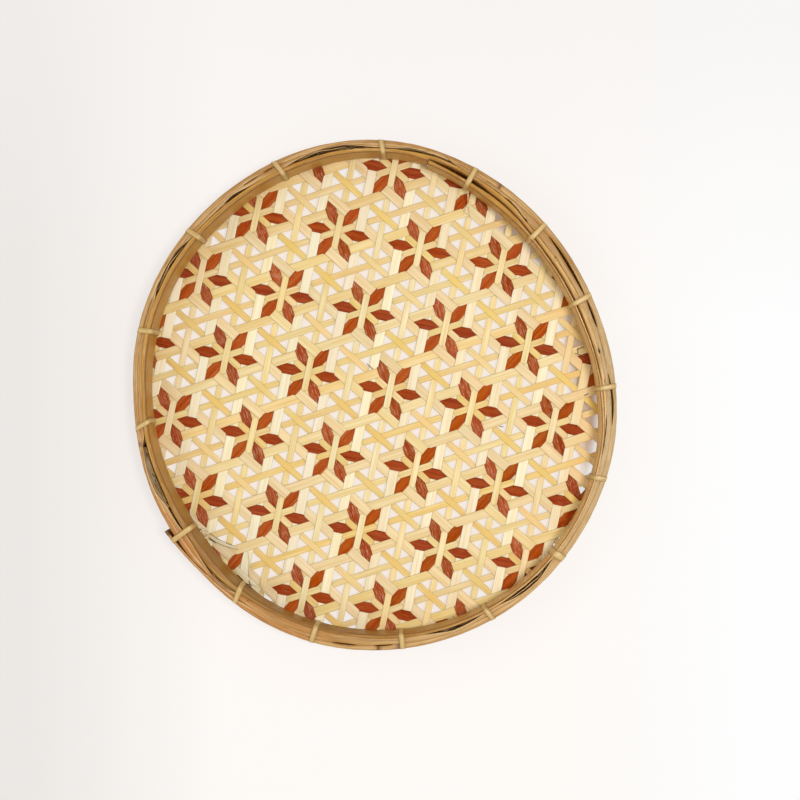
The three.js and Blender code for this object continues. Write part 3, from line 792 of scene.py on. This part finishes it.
def tie_tube(degrees, lean, width, seed):
    """A tie: a flat band carried once round both hoops along a squared loop, a little askew.

    The loop is an ellipse whose cosine and sine are raised to a small power, and its outer top
    corner is pulled down.
    """
    rng = np.random.default_rng(seed)
    t = np.linspace(0, 2 * math.pi, 72, endpoint=False)
    free = float(read(FREE_END, degrees, 1, None)) * (degrees > OUTER_LAP_START)
    outer = float(outer_face(degrees)) + TIE_OUTSIDE + free
    inner = float(inner_face(degrees)) - TIE_INSIDE
    cos, sin = (np.sign(wave) * np.abs(wave) ** TIE_SQUARE for wave in (np.cos(t), np.sin(t)))
    r = (outer + inner) / 2 + (outer - inner) / 2 * cos
    z = (TIE_LOW + TIE_HIGH) / 2 + (TIE_HIGH - TIE_LOW) / 2 * sin
    z = z - 0.7 * eased((z - 20) / 6) * eased((r - inner) / (outer - inner) * 2 - 1)
    ahead = np.roll(np.stack([r, z]), -1, 1) - np.roll(np.stack([r, z]), 1, 1)
    ahead /= np.linalg.norm(ahead, axis=0)
    across, thick = np.array(TIE_PROFILE).T
    skew = -lean * ((r - inner) / (outer - inner) - 0.5) + rng.uniform(-0.2, 0.2)
    wide = width * (1 + ripple(t * 20, seed, 30, 0.03))
    side = across[None, :] * wide[:, None] / 2 + skew[:, None]
    rr = r[:, None] + ahead[1][:, None] * thick[None, :] * TIE_HALF
    zz = z[:, None] + -ahead[0][:, None] * thick[None, :] * TIE_HALF
    out, along = unit(degrees), unit(degrees + 90)
    points = np.stack([rr * out[0] + side * along[0], rr * out[1] + side * along[1], zz], -1)
    place = np.cumsum(np.r_[0, np.linalg.norm(np.diff(points[:, 0], axis=0), axis=1)])
    edge = np.abs(across[::-1])[None, :] ** 5
    return tube(points[:, ::-1], place, zone=edge, tint=rng.uniform(-1, 1), closed=True)


# Loose strips and fibres

# Points of the loose pieces on the mat at the lower left: x, y and height above the mat
STRAY_STRIP = (
    (-101.5, -85.5, 3.0), (-98.2, -88.2, 2.6), (-93.6, -91.0, 2.2), (-88.6, -93.0, 1.8), (-84.5, -94.2, 1.5),
)
# Dark lines along the two edges of the loose strip, drawn with the dark fibres: painted shade along its sides
STRAY_EDGES = (
    ((-101.0, -84.4, 3.4), (-97.0, -87.6, 3.0), (-92.4, -89.8, 2.6), (-86.0, -92.6, 1.9)),
    ((-102.0, -87.0, 3.2), (-97.6, -90.0, 2.8), (-92.0, -92.6, 2.2), (-83.5, -94.8, 1.7)),
)
STRAY_CURL = ((-113.0, -69.0, 2.2), (-112.4, -73.5, 2.6), (-109.8, -78.2, 3.0), (-106.0, -82.0, 3.4))
STRAY_RING = (
    (-101.2, -84.8, 3.6), (-102.2, -82.6, 4.0), (-104.4, -81.8, 4.0), (-106.7, -83.0, 4.0),
    (-107.3, -85.3, 3.8), (-105.8, -87.3, 3.6), (-103.0, -87.4, 3.6), (-101.4, -85.4, 3.8),
)
STRAY_END = ((-85.5, -106.0, 1.8), (-80.5, -111.0, 2.4), (-75.5, -115.5, 2.6), (-70.0, -120.5, 2.4))
# Dark slits and fibres on the mat: x, y and height above the mat. The slits are painted shade, dark
# ribbons laid where the mat shows shade through a split; the rest are dark fibres
DARK_FIBRES_AND_SLIT_SHADE = (
    ((-79.4, -115.6, 3.0), (-74.6, -116.8, 3.2)),
    ((-77.0, -113.6, 3.2), (-75.4, -118.6, 3.2)),
    ((-107.0, -81.6, 3.6), (-105.6, -84.0, 3.8)),
    ((-101.5, -88.0, 3.2), (-97.0, -90.8, 2.8)),
    ((77.5, -18.4, 1.6), (80.6, -19.0, 1.6)),
    ((130.4, 0.4, 1.6), (133.2, 1.7, 1.6)),
    ((124.6, 26.8, 1.4), (128.0, 25.4, 1.8), (131.6, 25.2, 2.2)),
    ((126.4, 29.8, 1.6), (126.6, 26.4, 1.8)),
    ((125.8, 28.6, 1.8), (130.6, 31.2, 2.2)),
    ((-4.2, 20.4, 0.8), (-0.4, 16.6, 0.9)),
)
STRAY_FIBRES = (
    ((-77.5, -96.0, 1.6), (-76.6, -103.0, 2.4), (-76.8, -110.0, 2.8), (-75.6, -116.5, 2.6)),
    ((-77.0, -114.5, 2.4), (-73.0, -117.0, 3.2), (-69.5, -119.5, 3.2), (-66.0, -124.5, 2.6)),
    ((-75.5, -118.5, 2.2), (-71.5, -116.5, 3.0), (-68.0, -118.0, 3.0), (-65.5, -119.0, 2.4)),
    ((-70.0, -113.0, 2.4), (-69.0, -118.0, 3.2), (-66.5, -122.5, 3.0)),
    ((56.0, 112.0, 2.4), (58.5, 119.0, 5.0), (57.5, 127.5, 9.0)),
    ((60.5, 108.0, 2.4), (59.5, 117.0, 5.0), (58.0, 127.5, 9.5)),
)


def ribbon_tube(points, width, thickness=0.3, tint=0.0, taper=0.5):
    """A loose strip: a flat profile carried along a smooth curve through points above the mat.

    The curve is the straight line between the points, averaged over nine places on it, and the
    strip narrows to the share taper at its ends.
    """
    points = np.array(points, float)
    knots = np.cumsum(np.r_[0, np.linalg.norm(np.diff(points, axis=0), axis=1)])
    even = np.linspace(0, knots[-1], max(24, int(knots[-1] / 0.8)))
    kernel = np.hanning(9) / np.hanning(9).sum()
    line = np.stack([np.interp(even, knots, c) for c in points.T], 1)
    padded = np.concatenate([line[:1]] * 4 + [line] + [line[-1:]] * 4)
    line = np.stack([np.convolve(c, kernel, "valid") for c in padded.T], 1)
    line[:, 2] += mat_height(line[:, 0], line[:, 1])
    ahead = np.gradient(line, axis=0)
    ahead /= np.linalg.norm(ahead, axis=1)[:, None]
    side = np.cross([0, 0, 1], ahead)
    side /= np.linalg.norm(side, axis=1)[:, None]
    up = np.cross(ahead, side)
    u, w, edge = STRIP_PROFILE.T
    share = np.linspace(-1, 1, len(line))[:, None, None]
    size = 1 - (1 - taper) * np.abs(share) ** 6
    shape = side[:, None] * u[None, :, None] * width / 2 + up[:, None] * w[None, :, None] * thickness / 2
    return tube(line[:, None] + shape * size, even, zone=edge * EDGE_STAIN_AND_SHADE, tint=tint)


# Materials

# Patterns of the grain: length and width in mm, the two values of the noise between which the
# pattern fades in, and where its noise starts. A fibre bundle of bamboo is about 0.3 mm wide, which
# is under a pixel, so fibres are drawn 0.7 mm wide or more, and the cracked ones and the pale worn
# streaks of the dyed strips 0.4 mm; those streaks are partly worn dye and partly a painted sheen
STRIP_FIBRES = (34, 0.7, 0.45, 0.72)
STRIP_BANDS = (60, 3.0, 0.42, 0.66, 3.1)
WORN_AND_SHEEN_FIBRES = (6, 0.4)
WORN_AND_SHEEN_START = 7.7
LATH_FIBRES = (30, 0.7, 0.46, 0.7)
# The laths' pale fibres are partly paler fibres of the cane and partly a painted highlight
LATH_PALE_FIBRES = (45, 1.2, 0.5, 0.7, 5.3)
LATH_CRACKS = (14, 0.4, 0.67, 0.71, 1.7)
SKIN_MOTTLE = (4, 0.9, 0.4, 0.62, 9.4)
TIE_FIBRES = (12, 0.9, 0.45, 0.7)

# Sides of the plate whose colour differs: direction in degrees, the two lengths in mm between which the
# colour comes in, and the most of it. By the right side, strips are painted golden, a painted warm light
# bounced off the rim into its shade, and the skin is grey
STRIPS_PAINTED_BOUNCE = (5, 112, 138, 0.7)
SKIN_GREY = (355, 113, 145)
OUTER_SIDE_TONES = (((90, 60, 140), "#b27e3a"), ((222, 100, 145), "#c27e36"), ((310, 90, 145), "#d0a262"))
# The inner hoop is painted lighter on its right side, a painted light on the wall that the lamp leaves in
# shade, and is darker at the lower left
INNER_SIDE_LIGHT_AND_TONE = (((350, 60, 128), "#fbd08e"), ((240, 90, 136), "#9c6924"))

# Floor: the sides that are greyer, to the left, to the right and to the top, a painted shade where the
# lamp's light falls off
FLOOR_SIDES = ((180, 95, 215), (0, 120, 230), (85, 60, 250, 0.6))
# Where the rim keeps the light off the floor under the mat, and the brown colour painted on the floor
# there, a painted shade
FLOOR_SHADED = ((8, 120, 127), (50, 127.5, 131.5))
SHADED_WARM = "#e6c8ac"
# The distance from the middle, in metres, at which the floor is no longer under the mat
MAT_EDGE = (0.136, 0.142)
# How much of the floor the camera sees by its own colour: under the right edge of the mat, under
# the rest of the mat, and away from the plate
GLOW_EDGE = 0.34
GLOW_UNDER = 0.77
GLOW_AWAY = 0.76


def linear(code):
    """Linear RGBA of an sRGB hex code; a value that is linear already is given back."""
    if not isinstance(code, str):
        return code
    parts = [int(code[i:i + 2], 16) / 255 for i in (1, 3, 5)]
    return (*(p / 12.92 if p <= 0.04045 else ((p + 0.055) / 1.055) ** 2.4 for p in parts), 1.0)


def add_node(tree, kind, sockets=(), out=0, **settings):
    """Adds a shader node and gives one of its outputs, if it has any.

    sockets pairs an input with a value or with another node's output, and settings are its own.
    """
    node = tree.nodes.new(f"ShaderNode{kind}")
    for key, value in settings.items():
        setattr(node, key, value)
    for key, value in dict(sockets).items():
        if isinstance(value, bpy.types.NodeSocket):
            tree.links.new(value, node.inputs[key])
        else:
            node.inputs[key].default_value = value
    return node.outputs[out] if node.outputs else None


def new_material(name):
    """A material of that name with an empty node tree."""
    material = bpy.data.materials.new(name)
    material.use_nodes = True
    material.node_tree.nodes.clear()
    return material, material.node_tree


def streaks(tree, long, wide, low, high, start=0.0):
    """Noise drawn out along the grain: its raw value, and its share between a low and a high one."""
    uv = add_node(tree, "UVMap", uv_map="grain")
    size = (1 / (long * MM), 1 / (wide * MM), 1)
    at = add_node(tree, "Mapping", {0: uv, 1: (start, start, 0), 3: size})
    noise = add_node(tree, "TexNoise", {"Vector": at, "Scale": 1.0, "Detail": 3.0})
    return noise, add_node(tree, "MapRange", {0: noise, 1: low, 2: high})


def facing(tree, degrees, near, far, most=1.0):
    """Share of a side of the plate: how far a point lies in one direction, between two lengths in mm."""
    where = add_node(tree, "TexCoord", out="Object")
    way = (*unit(degrees), 0)
    reach = add_node(tree, "VectorMath", {0: where, 1: way}, "Value", operation="DOT_PRODUCT")
    return add_node(tree, "MapRange", {0: reach, 1: near * MM, 2: far * MM, 4: most})


def share_of(tree, name):
    """A share that the mesh carries: the tint of a piece; its dark ends or edges, partly painted shade, or a
    lath's edge, on the outer hoop a painted highlight; the painted backlight at a strip's hubs, or a lath's
    scars.
    """
    return add_node(tree, "Attribute", out="Fac", attribute_name=name)


def layered(tree, colour, layers):
    """Lays colours, as hex codes or as linear values, over each other, each one by its own share."""
    for share, code in layers:
        sockets = {0: share, 6: colour, 7: linear(code)}
        colour = add_node(tree, "Mix", sockets, 2, data_type="RGBA")
    return colour


def finished(material, tree, colour, height, roughness, gloss=0.5, reach=0.08, drift=0.0, bump_mm=0.2,
             strength=0.35):
    """Varies a colour from piece to piece, and gives it the sheen and the relief of its fibres.

    A piece is darker than the colour by up to reach. The tint of a piece, multiplied and with its
    whole part taken off, gives two more random shares: drift lets them make it richer and turn its
    hue. The IOR of 1.5 is the usual one for wood.
    """
    share = share_of(tree, "tint")
    value = add_node(tree, "MapRange", {0: share, 1: -1.0, 2: 1.0, 3: 1 - reach, 4: 1.0})
    varied = {"Value": value, "Color": colour}
    ranges = (
        ("Saturation", 7.3, 1 - 0.1 * drift, 1 + 0.1 * drift),
        ("Hue", 5.7, 0.5 - 0.006 * drift, 0.5 + 0.007 * drift),
    )
    for socket, times, low, high in ranges:
        share = add_node(tree, "Math", {0: share, 1: times}, operation="MULTIPLY")
        share = add_node(tree, "Math", {0: share, 1: 1.0}, operation="FLOORED_MODULO")
        varied[socket] = add_node(tree, "MapRange", {0: share, 3: low, 4: high})
    colour = add_node(tree, "HueSaturation", varied)
    relief = {"Height": height, "Strength": strength, "Distance": bump_mm * MM}
    normal = add_node(tree, "Bump", relief)
    shader = add_node(tree, "BsdfPrincipled", {
        "Base Color": colour, "Roughness": roughness, "IOR": 1.5, "Specular IOR Level": gloss,
        "Normal": normal,
    })
    add_node(tree, "OutputMaterial", {0: shader})
    return material


def split_bamboo(name, base, fibre, glow, painted_backlight=None, painted_bounce=None, worn_and_sheen=None, stain_and_shade="#6b4a26", gloss=0.4,
                 reach=0.08, drift=1.0, wear_and_sheen=0.6):
    """Split bamboo, planed thin: the fibre bundles show as fine lines along each strip.

    The ends that stand in the dark slot of the rim are darker, partly dust and partly painted shade of the
    slot, and so are the cut edges, partly their own colour and partly a painted shadow on one side. Strips
    are painted more golden by the right side of the rim, a painted warm light bounced off the rim; thin
    strips are painted deeper at the stars' hubs, a painted backlight through the strips; and dyed strips have
    pale streaks along single fibres, partly worn dye and partly a painted sheen.
    """
    material, tree = new_material(name)
    fine, lines = streaks(tree, *STRIP_FIBRES)
    _, bands = streaks(tree, *STRIP_BANDS)
    layers = [(lines, fibre), (bands, glow)]
    # Painted light: a deeper colour at the stars' hubs as backlight through the strips, and a more golden one
    # by the right side of the rim as warm light bounced off it
    if painted_backlight:
        layers.append((share_of(tree, "depth"), painted_backlight))
    if painted_bounce:
        layers.append((facing(tree, *STRIPS_PAINTED_BOUNCE), painted_bounce))
    # Pale streaks along single fibres: partly worn dye, partly painted sheen
    if worn_and_sheen:
        layers.append((streaks(tree, *WORN_AND_SHEEN_FIBRES, wear_and_sheen, wear_and_sheen + 0.07, WORN_AND_SHEEN_START)[1], worn_and_sheen))
    # Darker slot ends and cut edges: partly dust and the edges' own colour, partly painted shade
    layers.append((share_of(tree, "zone"), stain_and_shade))
    colour = layered(tree, linear(base), layers)
    return finished(material, tree, colour, fine, 0.5, gloss, reach, drift)


def bamboo_lath(name, base, dark, pale, edge, sides=(), skin=None):
    """Thick bamboo lath, shaved: coarse brown and pale fibres, the pale ones partly a painted highlight,
    dark cracks, and a waxy sheen.

    The colour changes round the rim, side by side; on the inner hoop's right side it is a painted light,
    lighter where the wall is in shade, and the inner hoop is darker at the lower left. A lath that keeps its
    skin is greyish on the right, in mottled patches. At the inner top edge, the outer hoop has a painted
    highlight along the edges that face the open gap, and the inner hoop is darker.
    """
    material, tree = new_material(name)
    fine, lines = streaks(tree, *LATH_FIBRES)
    _, light = streaks(tree, *LATH_PALE_FIBRES)
    _, cracks = streaks(tree, *LATH_CRACKS)
    layers = [(facing(tree, *side), code) for side, code in sides] + [(lines, dark), (light, pale)]
    if skin:
        _, mottle = streaks(tree, *SKIN_MOTTLE)
        patch = add_node(tree, "Math", {0: mottle, 1: 0.45, 2: 0.4}, operation="MULTIPLY_ADD")
        right = facing(tree, *SKIN_GREY)
        patch = add_node(tree, "Math", {0: right, 1: patch}, operation="MULTIPLY")
        layers.append((patch, skin))
    layers += [(cracks, "#5a3a1a"), (share_of(tree, "zone"), edge), (share_of(tree, "depth"), "#6b4020")]
    colour = layered(tree, linear(base), layers)
    return finished(material, tree, colour, fine, 0.42, gloss=0.35, reach=0.1, bump_mm=0.3, strength=0.5)


def bamboo_tie(name, base, fibre, edge):
    """Split bamboo skin, wrapped round the rim: a golden band, darker along its two sides."""
    material, tree = new_material(name)
    fine, lines = streaks(tree, *TIE_FIBRES)
    colour = layered(tree, linear(base), [(lines, fibre), (share_of(tree, "zone"), edge)])
    return finished(material, tree, colour, fine, 0.4, reach=0.12)


def paper_floor(name, colour, sides, warm):
    """Matt white paper, painted greyer to the left and a little at the top, a painted shade as on a sheet lit
    from one side.

    The camera sees it mostly by its own colour, so that the plate's shadow stays faint, but not
    under the shaded right edge of the mat. Under the mat it is painted warmer, a painted light as if it came
    through the strips, and under the shaded edge browner, a painted shade.
    """
    material, tree = new_material(name)
    greyer = [(facing(tree, *side), code) for side, code in zip(FLOOR_SIDES, sides)]
    paper = layered(tree, linear(colour), greyer)
    where = add_node(tree, "TexCoord", out="Object")
    reach = add_node(tree, "VectorMath", {0: where}, "Value", operation="LENGTH")
    away = add_node(tree, "MapRange", {0: reach, 1: MAT_EDGE[0], 2: MAT_EDGE[1]})
    right, upper = (facing(tree, *side) for side in FLOOR_SHADED)
    shade = add_node(tree, "Math", {0: right, 1: upper}, operation="MAXIMUM")
    # Painted shade: browner where the rim keeps the light off; under the rest of the mat, the warmer colour
    # is painted light through the strips
    warm = layered(tree, warm, [(shade, SHADED_WARM)])
    under = add_node(tree, "MapRange", {0: shade, 3: GLOW_UNDER, 4: GLOW_EDGE})
    share = add_node(tree, "Mix", {0: away, 2: under, 3: GLOW_AWAY})
    paper = add_node(tree, "Mix", {0: away, 6: warm, 7: paper}, 2, data_type="RGBA")
    seen = add_node(tree, "LightPath", out="Is Camera Ray")
    glow = add_node(tree, "Math", {0: seen, 1: share}, operation="MULTIPLY")
    lit = add_node(tree, "BsdfDiffuse", {"Color": paper})
    own = add_node(tree, "Emission", {"Color": paper, "Strength": 1.0})
    shader = add_node(tree, "MixShader", {0: glow, 1: lit, 2: own})
    add_node(tree, "OutputMaterial", {0: shader})
    return material


# Settings, operators and panel

def length_setting(name, description, default):
    """A length in metres that a user can change."""
    return bpy.props.FloatProperty(name=name, description=description, default=default, unit="LENGTH")


def colour_setting(name, what, code):
    """A colour that a user can change, with its default as a hex code."""
    return bpy.props.FloatVectorProperty(
        name=name, description=f"Colour of {what}", default=linear(code), size=4, subtype="COLOR", min=0,
        max=1)


class WallPlateSettings(bpy.types.PropertyGroup):
    """Sizes, colours and light that a user would change"""

    wide_width: length_setting("Wide strip", "Width of a wide strip", 5.8 * MM)
    thin_width: length_setting("Thin strip", "Width of a thin strip", 4.0 * MM)
    red_width: length_setting("Dyed strip", "Width of a dyed strip", 6.5 * MM)
    tie_width: length_setting("Tie", "Width of a tie", 3.3 * MM)
    # The wide strips at 78 degrees are paler than the other two directions: a painted sheen, because their
    # fibres catch the light most
    wide_a: colour_setting("Wide, 18°", "the wide strips at 18 degrees", "#edcf8e")
    wide_b: colour_setting("Wide, 78°", "the wide strips at 78 degrees", "#f8e6bb")
    wide_c: colour_setting("Wide, 138°", "the wide strips at 138 degrees", "#eed096")
    thin_a: colour_setting("Thin, 18°", "the thin strips at 18 degrees", "#ebc97c")
    thin_b: colour_setting("Thin, 78°", "the thin strips at 78 degrees", "#f2d698")
    thin_c: colour_setting("Thin, 138°", "the thin strips at 138 degrees", "#ecca80")
    dyed_a: colour_setting("Dyed, -12°", "the dyed strips at -12 degrees", "#9e3c10")
    dyed_b: colour_setting("Dyed, 48°", "the dyed strips at 48 degrees", "#b0480a")
    dyed_c: colour_setting("Dyed, 108°", "the dyed strips at 108 degrees", "#a64418")
    outer_lath: colour_setting("Outer hoop", "the outer hoop's laths", "#bb8e4d")
    inner_lath: colour_setting("Inner hoop", "the inner hoop's laths", "#cc943d")
    tie: colour_setting("Ties", "the ties", "#dcb976")
    # The floor's colours to the sides are painted light and shade: greyer where the lamp's light falls off
    floor: colour_setting("Floor", "the floor", "#fcf8f5")
    floor_left: colour_setting("Floor, left", "the floor far to the left", "#ebe7e4")
    floor_right: colour_setting("Floor, right", "the floor far to the right", "#fcfcfc")
    floor_top: colour_setting("Floor, top", "the floor far to the top", "#f3f0ee")
    # Painted light: the floor under the mat is warmer, as light coming through the strips would make it
    floor_under: colour_setting("Floor, under", "the floor under the mat", "#fdf1e6")
    key_power: bpy.props.FloatProperty(
        name="Lamp", description="Power of the lamp on the right", default=12.4, unit="POWER")
    fill_power: bpy.props.FloatProperty(
        name="Fill lamp", description="Power of the wide, weak lamp on the left", default=5.0, unit="POWER")
    room_level: bpy.props.FloatProperty(
        name="Room", description="Brightness of the room's own light", default=0.54)


def family_strips(settings, family, seed):
    """The strips of one family, one on each of its lines, with the heights that they settle at."""
    width = {kind: getattr(settings, f"{kind}_width") / MM for kind in PERIOD}
    table = settle_weave(*width.values())[family]
    lines = enumerate(strip_lines(family), seed + family * 100)
    return [strip_tube(table, family, line, width[KINDS[family]], number) for number, line in lines]


class PLATE_OT_wide_strips(bpy.types.Operator):
    """Weaves the wide strips in three directions"""

    bl_idname = "plate.wide_strips"
    bl_label = "Wide strips"

    def execute(self, context):
        settings = context.scene.wall_plate
        # Of each: base, fibre and band colours, and the golden colour by the right side of the rim, a painted
        # warm light bounced off the rim. The paler colours of the strips at 78 degrees are a painted sheen
        finishes = (
            ("a", settings.wide_a, "#dfb96f", "#f3daa2", "#f2c878"),
            ("b", settings.wide_b, "#eed39d", "#fcf0d0", "#f6d796"),
            ("c", settings.wide_c, "#e0bb79", "#f4dcaa", "#f2c878"),
        )
        for family, (letter, base, fibre, glow, painted_bounce) in enumerate(finishes):
            material = split_bamboo(f"split bamboo, planed, wide {letter}", base, fibre, glow, painted_bounce=painted_bounce)
            for number, strip in enumerate(family_strips(settings, family, 1001), 1):
                slot, place = f"wide_strip_{letter}", f"{letter}_{number:02d}"
                make_piece(f"woven_wide_{place}", [strip], material, [f"wide_strip_{place}"])
        return {"FINISHED"}


class PLATE_OT_thin_strips(bpy.types.Operator):
    """Weaves the thin strips through the middles of the hexagons"""

    bl_idname = "plate.thin_strips"
    bl_label = "Thin strips"

    def execute(self, context):
        settings = context.scene.wall_plate
        # Of each: base, fibre and band colours, the deeper colour at the stars' hubs, a painted backlight
        # through the strips, and the golden colour by the right side of the rim, a painted warm light bounced
        # off the rim
        finishes = (
            ("a", settings.thin_a, "#dcb160", "#f2d795", "#eeca7a", "#f0c168"),
            ("b", settings.thin_b, "#e7c47e", "#f8e3b0", "#f0d18e", "#f2c878"),
            ("c", settings.thin_c, "#ddb263", "#f3d898", "#eecb7c", "#f0c168"),
        )
        for family, (letter, *colours) in enumerate(finishes, 3):
            material = split_bamboo(f"split bamboo, planed, thin {letter}", *colours)
            strips = family_strips(settings, family, 2000)
            make_piece(f"woven_thin_{letter}", strips, material, ["thin_strip_net"])
        return {"FINISHED"}


class PLATE_OT_red_strips(bpy.types.Operator):
    """Weaves the dyed strips that show as petals"""

    bl_idname = "plate.red_strips"
    bl_label = "Dyed strips"

    def execute(self, context):
        settings = context.scene.wall_plate
        # Of each: base, fibre and band colours, the pale streaks along single fibres, partly worn dye and
        # partly painted sheen, and the noise value above which they show. The dark colour at the petals'
        # edges is partly dye gathered there and partly painted shade
        finishes = (
            ("a", settings.dyed_a, "#7e270c", "#ad4c1c", "#b8643c", 0.6),
            ("b", settings.dyed_b, "#943406", "#c06022", "#c87a48", 0.6),
            ("c", settings.dyed_c, "#8a320c", "#b65e2c", "#e0a884", 0.57),
        )
        for family, (letter, base, fibre, glow, worn_and_sheen, wear_and_sheen) in enumerate(finishes, 6):
            material = split_bamboo(
                f"split bamboo, dyed {letter}", base, fibre, glow, worn_and_sheen=worn_and_sheen, wear_and_sheen=wear_and_sheen, stain_and_shade="#3c1508",
                gloss=0.04, reach=0.16, drift=0.15)
            strips = family_strips(settings, family, 3000)
            make_piece(f"woven_red_{letter}", strips, material, ["red_strip_net"])
        return {"FINISHED"}


class PLATE_OT_hoops(bpy.types.Operator):
    """Bends the laths of the outer and the inner hoop"""

    bl_idname = "plate.hoops"
    bl_label = "Hoops"

    def execute(self, context):
        settings = context.scene.wall_plate
        # The outer hoop's pale edge colour is a painted highlight along the edges that face the gap, also on
        # the slivers; the inner hoop's edge colour makes its inner top edge darker, and its side colours
        # paint light on its right side
        outer = bamboo_lath(
            "bamboo lath with skin", settings.outer_lath, "#a07033", "#d9b072", "#e2c08a", OUTER_SIDE_TONES,
            "#c7ab7b")
        inner = bamboo_lath(
            "bamboo lath, inner wood", settings.inner_lath, "#a3722c", "#d6ab60", "#97672c", INNER_SIDE_LIGHT_AND_TONE)
        twisted = bamboo_lath("bamboo lath, weathered", "#8e7146", "#5c482c", "#bc9c6c", "#6b5434")
        dark = "#6a4a2a"
        frayed = split_bamboo("frayed bamboo, dark", dark, "#2e1c0c", "#b8966a", stain_and_shade=dark)
        outer_tubes = outer_hoop_tubes() + sliver_tubes()
        make_piece("rim_outer_laths", outer_tubes, outer, ["outer_hoop"])
        make_piece("rim_twisted_strands", twisted_tubes(), twisted, ["outer_hoop"])
        make_piece("rim_inner_laths", inner_hoop_tubes(), inner, ["inner_hoop"])
        make_piece("rim_frayed_ends", frayed_tubes(), frayed)
        return {"FINISHED"}


class PLATE_OT_loose_strips(bpy.types.Operator):
    """Lays the loose strip and the loose fibres on the mat"""

    bl_idname = "plate.loose_strips"
    bl_label = "Loose strips"

    def execute(self, context):
        pale = split_bamboo("split bamboo, green side", "#e4d39a", "#c4ad6e", "#f0e4b8")
        tubes = [
            ribbon_tube(STRAY_STRIP, 1.9), ribbon_tube(STRAY_CURL, 1.7), ribbon_tube(STRAY_RING, 0.9, 0.4),
            ribbon_tube(STRAY_END, 3.6, taper=0.8),
        ]
        tubes += [ribbon_tube(points, 0.35, tint=-0.5 + 0.2 * n) for n, points in enumerate(STRAY_FIBRES)]
        make_piece("loose_strip_and_fibres", tubes, pale)
        # Dark fibres, and dark ribbons that are painted shade in slits and along the loose strip's edges
        dark = split_bamboo("dark bamboo fibre and painted shade", "#5a4630", "#3a2a1a", "#7a6040")
        tubes = [ribbon_tube(points, 0.5) for points in DARK_FIBRES_AND_SLIT_SHADE]
        tubes += [ribbon_tube(points, 0.3, taper=0.8) for points in STRAY_EDGES]
        make_piece("dark_fibres_and_painted_shade", tubes, dark)
        return {"FINISHED"}


class PLATE_OT_ties(bpy.types.Operator):
    """Wraps the ties round both hoops"""

    bl_idname = "plate.ties"
    bl_label = "Ties"

    def execute(self, context):
        settings = context.scene.wall_plate
        width = settings.tie_width / MM
        material = bamboo_tie("split bamboo tie", settings.tie, "#c49d5a", "#98713a")
        for number, (degrees, lean) in enumerate(TIES, 1):
            band = tie_tube(degrees, lean, width * WIDE_TIES.get(number, 1.0), 400 + number)
            make_piece(f"rim_tie_{number:02d}", [band], material, [f"tie_{number:02d}"])
        return {"FINISHED"}


def link(name, data):
    """An object of that name in the scene, for a mesh, a light or a camera."""
    item = bpy.data.objects.new(name, data)
    bpy.context.scene.collection.objects.link(item)
    return item


class PLATE_OT_stage(bpy.types.Operator):
    """Lays the floor and sets the light and the camera"""

    bl_idname = "plate.stage"
    bl_label = "Stage"

    def execute(self, context):
        settings = context.scene.wall_plate
        mesh = bpy.data.meshes.new("floor")
        corners = [(FLOOR_HALF * x, FLOOR_HALF * y, 0) for x, y in ((-1, -1), (1, -1), (1, 1), (-1, 1))]
        mesh.from_pydata(corners, [], [(0, 1, 2, 3)])
        sides = (settings.floor_left, settings.floor_right, settings.floor_top)
        mesh.materials.append(paper_floor("matt white paper", settings.floor, sides, settings.floor_under))
        floor = link("floor", mesh)
        for (name, place, size), power in zip(LAMPS, (settings.key_power, settings.fill_power)):
            light = bpy.data.lights.new(name, "AREA")
            light.shape = "DISK"
            light.size = size
            light.energy = power
            lamp = link(name, light)
            lamp.location = place
            lamp.rotation_euler = Vector(place).to_track_quat("Z", "Y").to_euler()
        world = bpy.data.worlds.new("room")
        world.use_nodes = True
        # The camera sees white behind the floor, while the room lights the plate with less than that
        seen = add_node(world.node_tree, "LightPath", out="Is Camera Ray")
        level = add_node(world.node_tree, "MapRange", {0: seen, 3: settings.room_level})
        room = world.node_tree.nodes["Background"]
        room.inputs["Color"].default_value = (1.0, 1.0, 1.0, 1.0)
        world.node_tree.links.new(level, room.inputs["Strength"])
        context.scene.world = world
        camera = link("camera", bpy.data.cameras.new("camera"))
        camera.location = [p * MM for p in CAMERA_PLACE]
        camera.data.sensor_width = SENSOR_WIDTH
        camera.data.lens = SENSOR_WIDTH * CAMERA_FOCUS / IMAGE_SIZE
        context.scene.camera = camera
        context.scene.view_settings.view_transform = "Standard"
        return {"FINISHED"}


OPERATORS = (
    PLATE_OT_wide_strips,
    PLATE_OT_thin_strips,
    PLATE_OT_red_strips,
    PLATE_OT_hoops,
    PLATE_OT_ties,
    PLATE_OT_loose_strips,
    PLATE_OT_stage,
)


class PLATE_PT_panel(bpy.types.Panel):
    """Lists the settings and the pieces"""

    bl_idname = "PLATE_PT_panel"
    bl_label = "Wall Plate"
    bl_space_type = "VIEW_3D"
    bl_region_type = "UI"
    bl_category = "Wall Plate"

    def draw(self, context):
        settings = context.scene.wall_plate
        for name in WallPlateSettings.__annotations__:
            self.layout.prop(settings, name)
        for operator in OPERATORS:
            self.layout.operator(operator.bl_idname)


CLASSES = (WallPlateSettings, *OPERATORS, PLATE_PT_panel)


def register():
    """Makes the settings, operators and panel known to Blender."""
    for item in CLASSES:
        bpy.utils.register_class(item)
    bpy.types.Scene.wall_plate = bpy.props.PointerProperty(type=WallPlateSettings)


def unregister():
    """Takes them away again."""
    del bpy.types.Scene.wall_plate
    for item in reversed(CLASSES):
        bpy.utils.unregister_class(item)


def main():
    """Builds every piece and the stage."""
    register()
    bpy.ops.plate.wide_strips()
    bpy.ops.plate.thin_strips()
    bpy.ops.plate.red_strips()
    bpy.ops.plate.hoops()
    bpy.ops.plate.ties()
    bpy.ops.plate.loose_strips()
    bpy.ops.plate.stage()


if __name__ == "__main__":
    main()
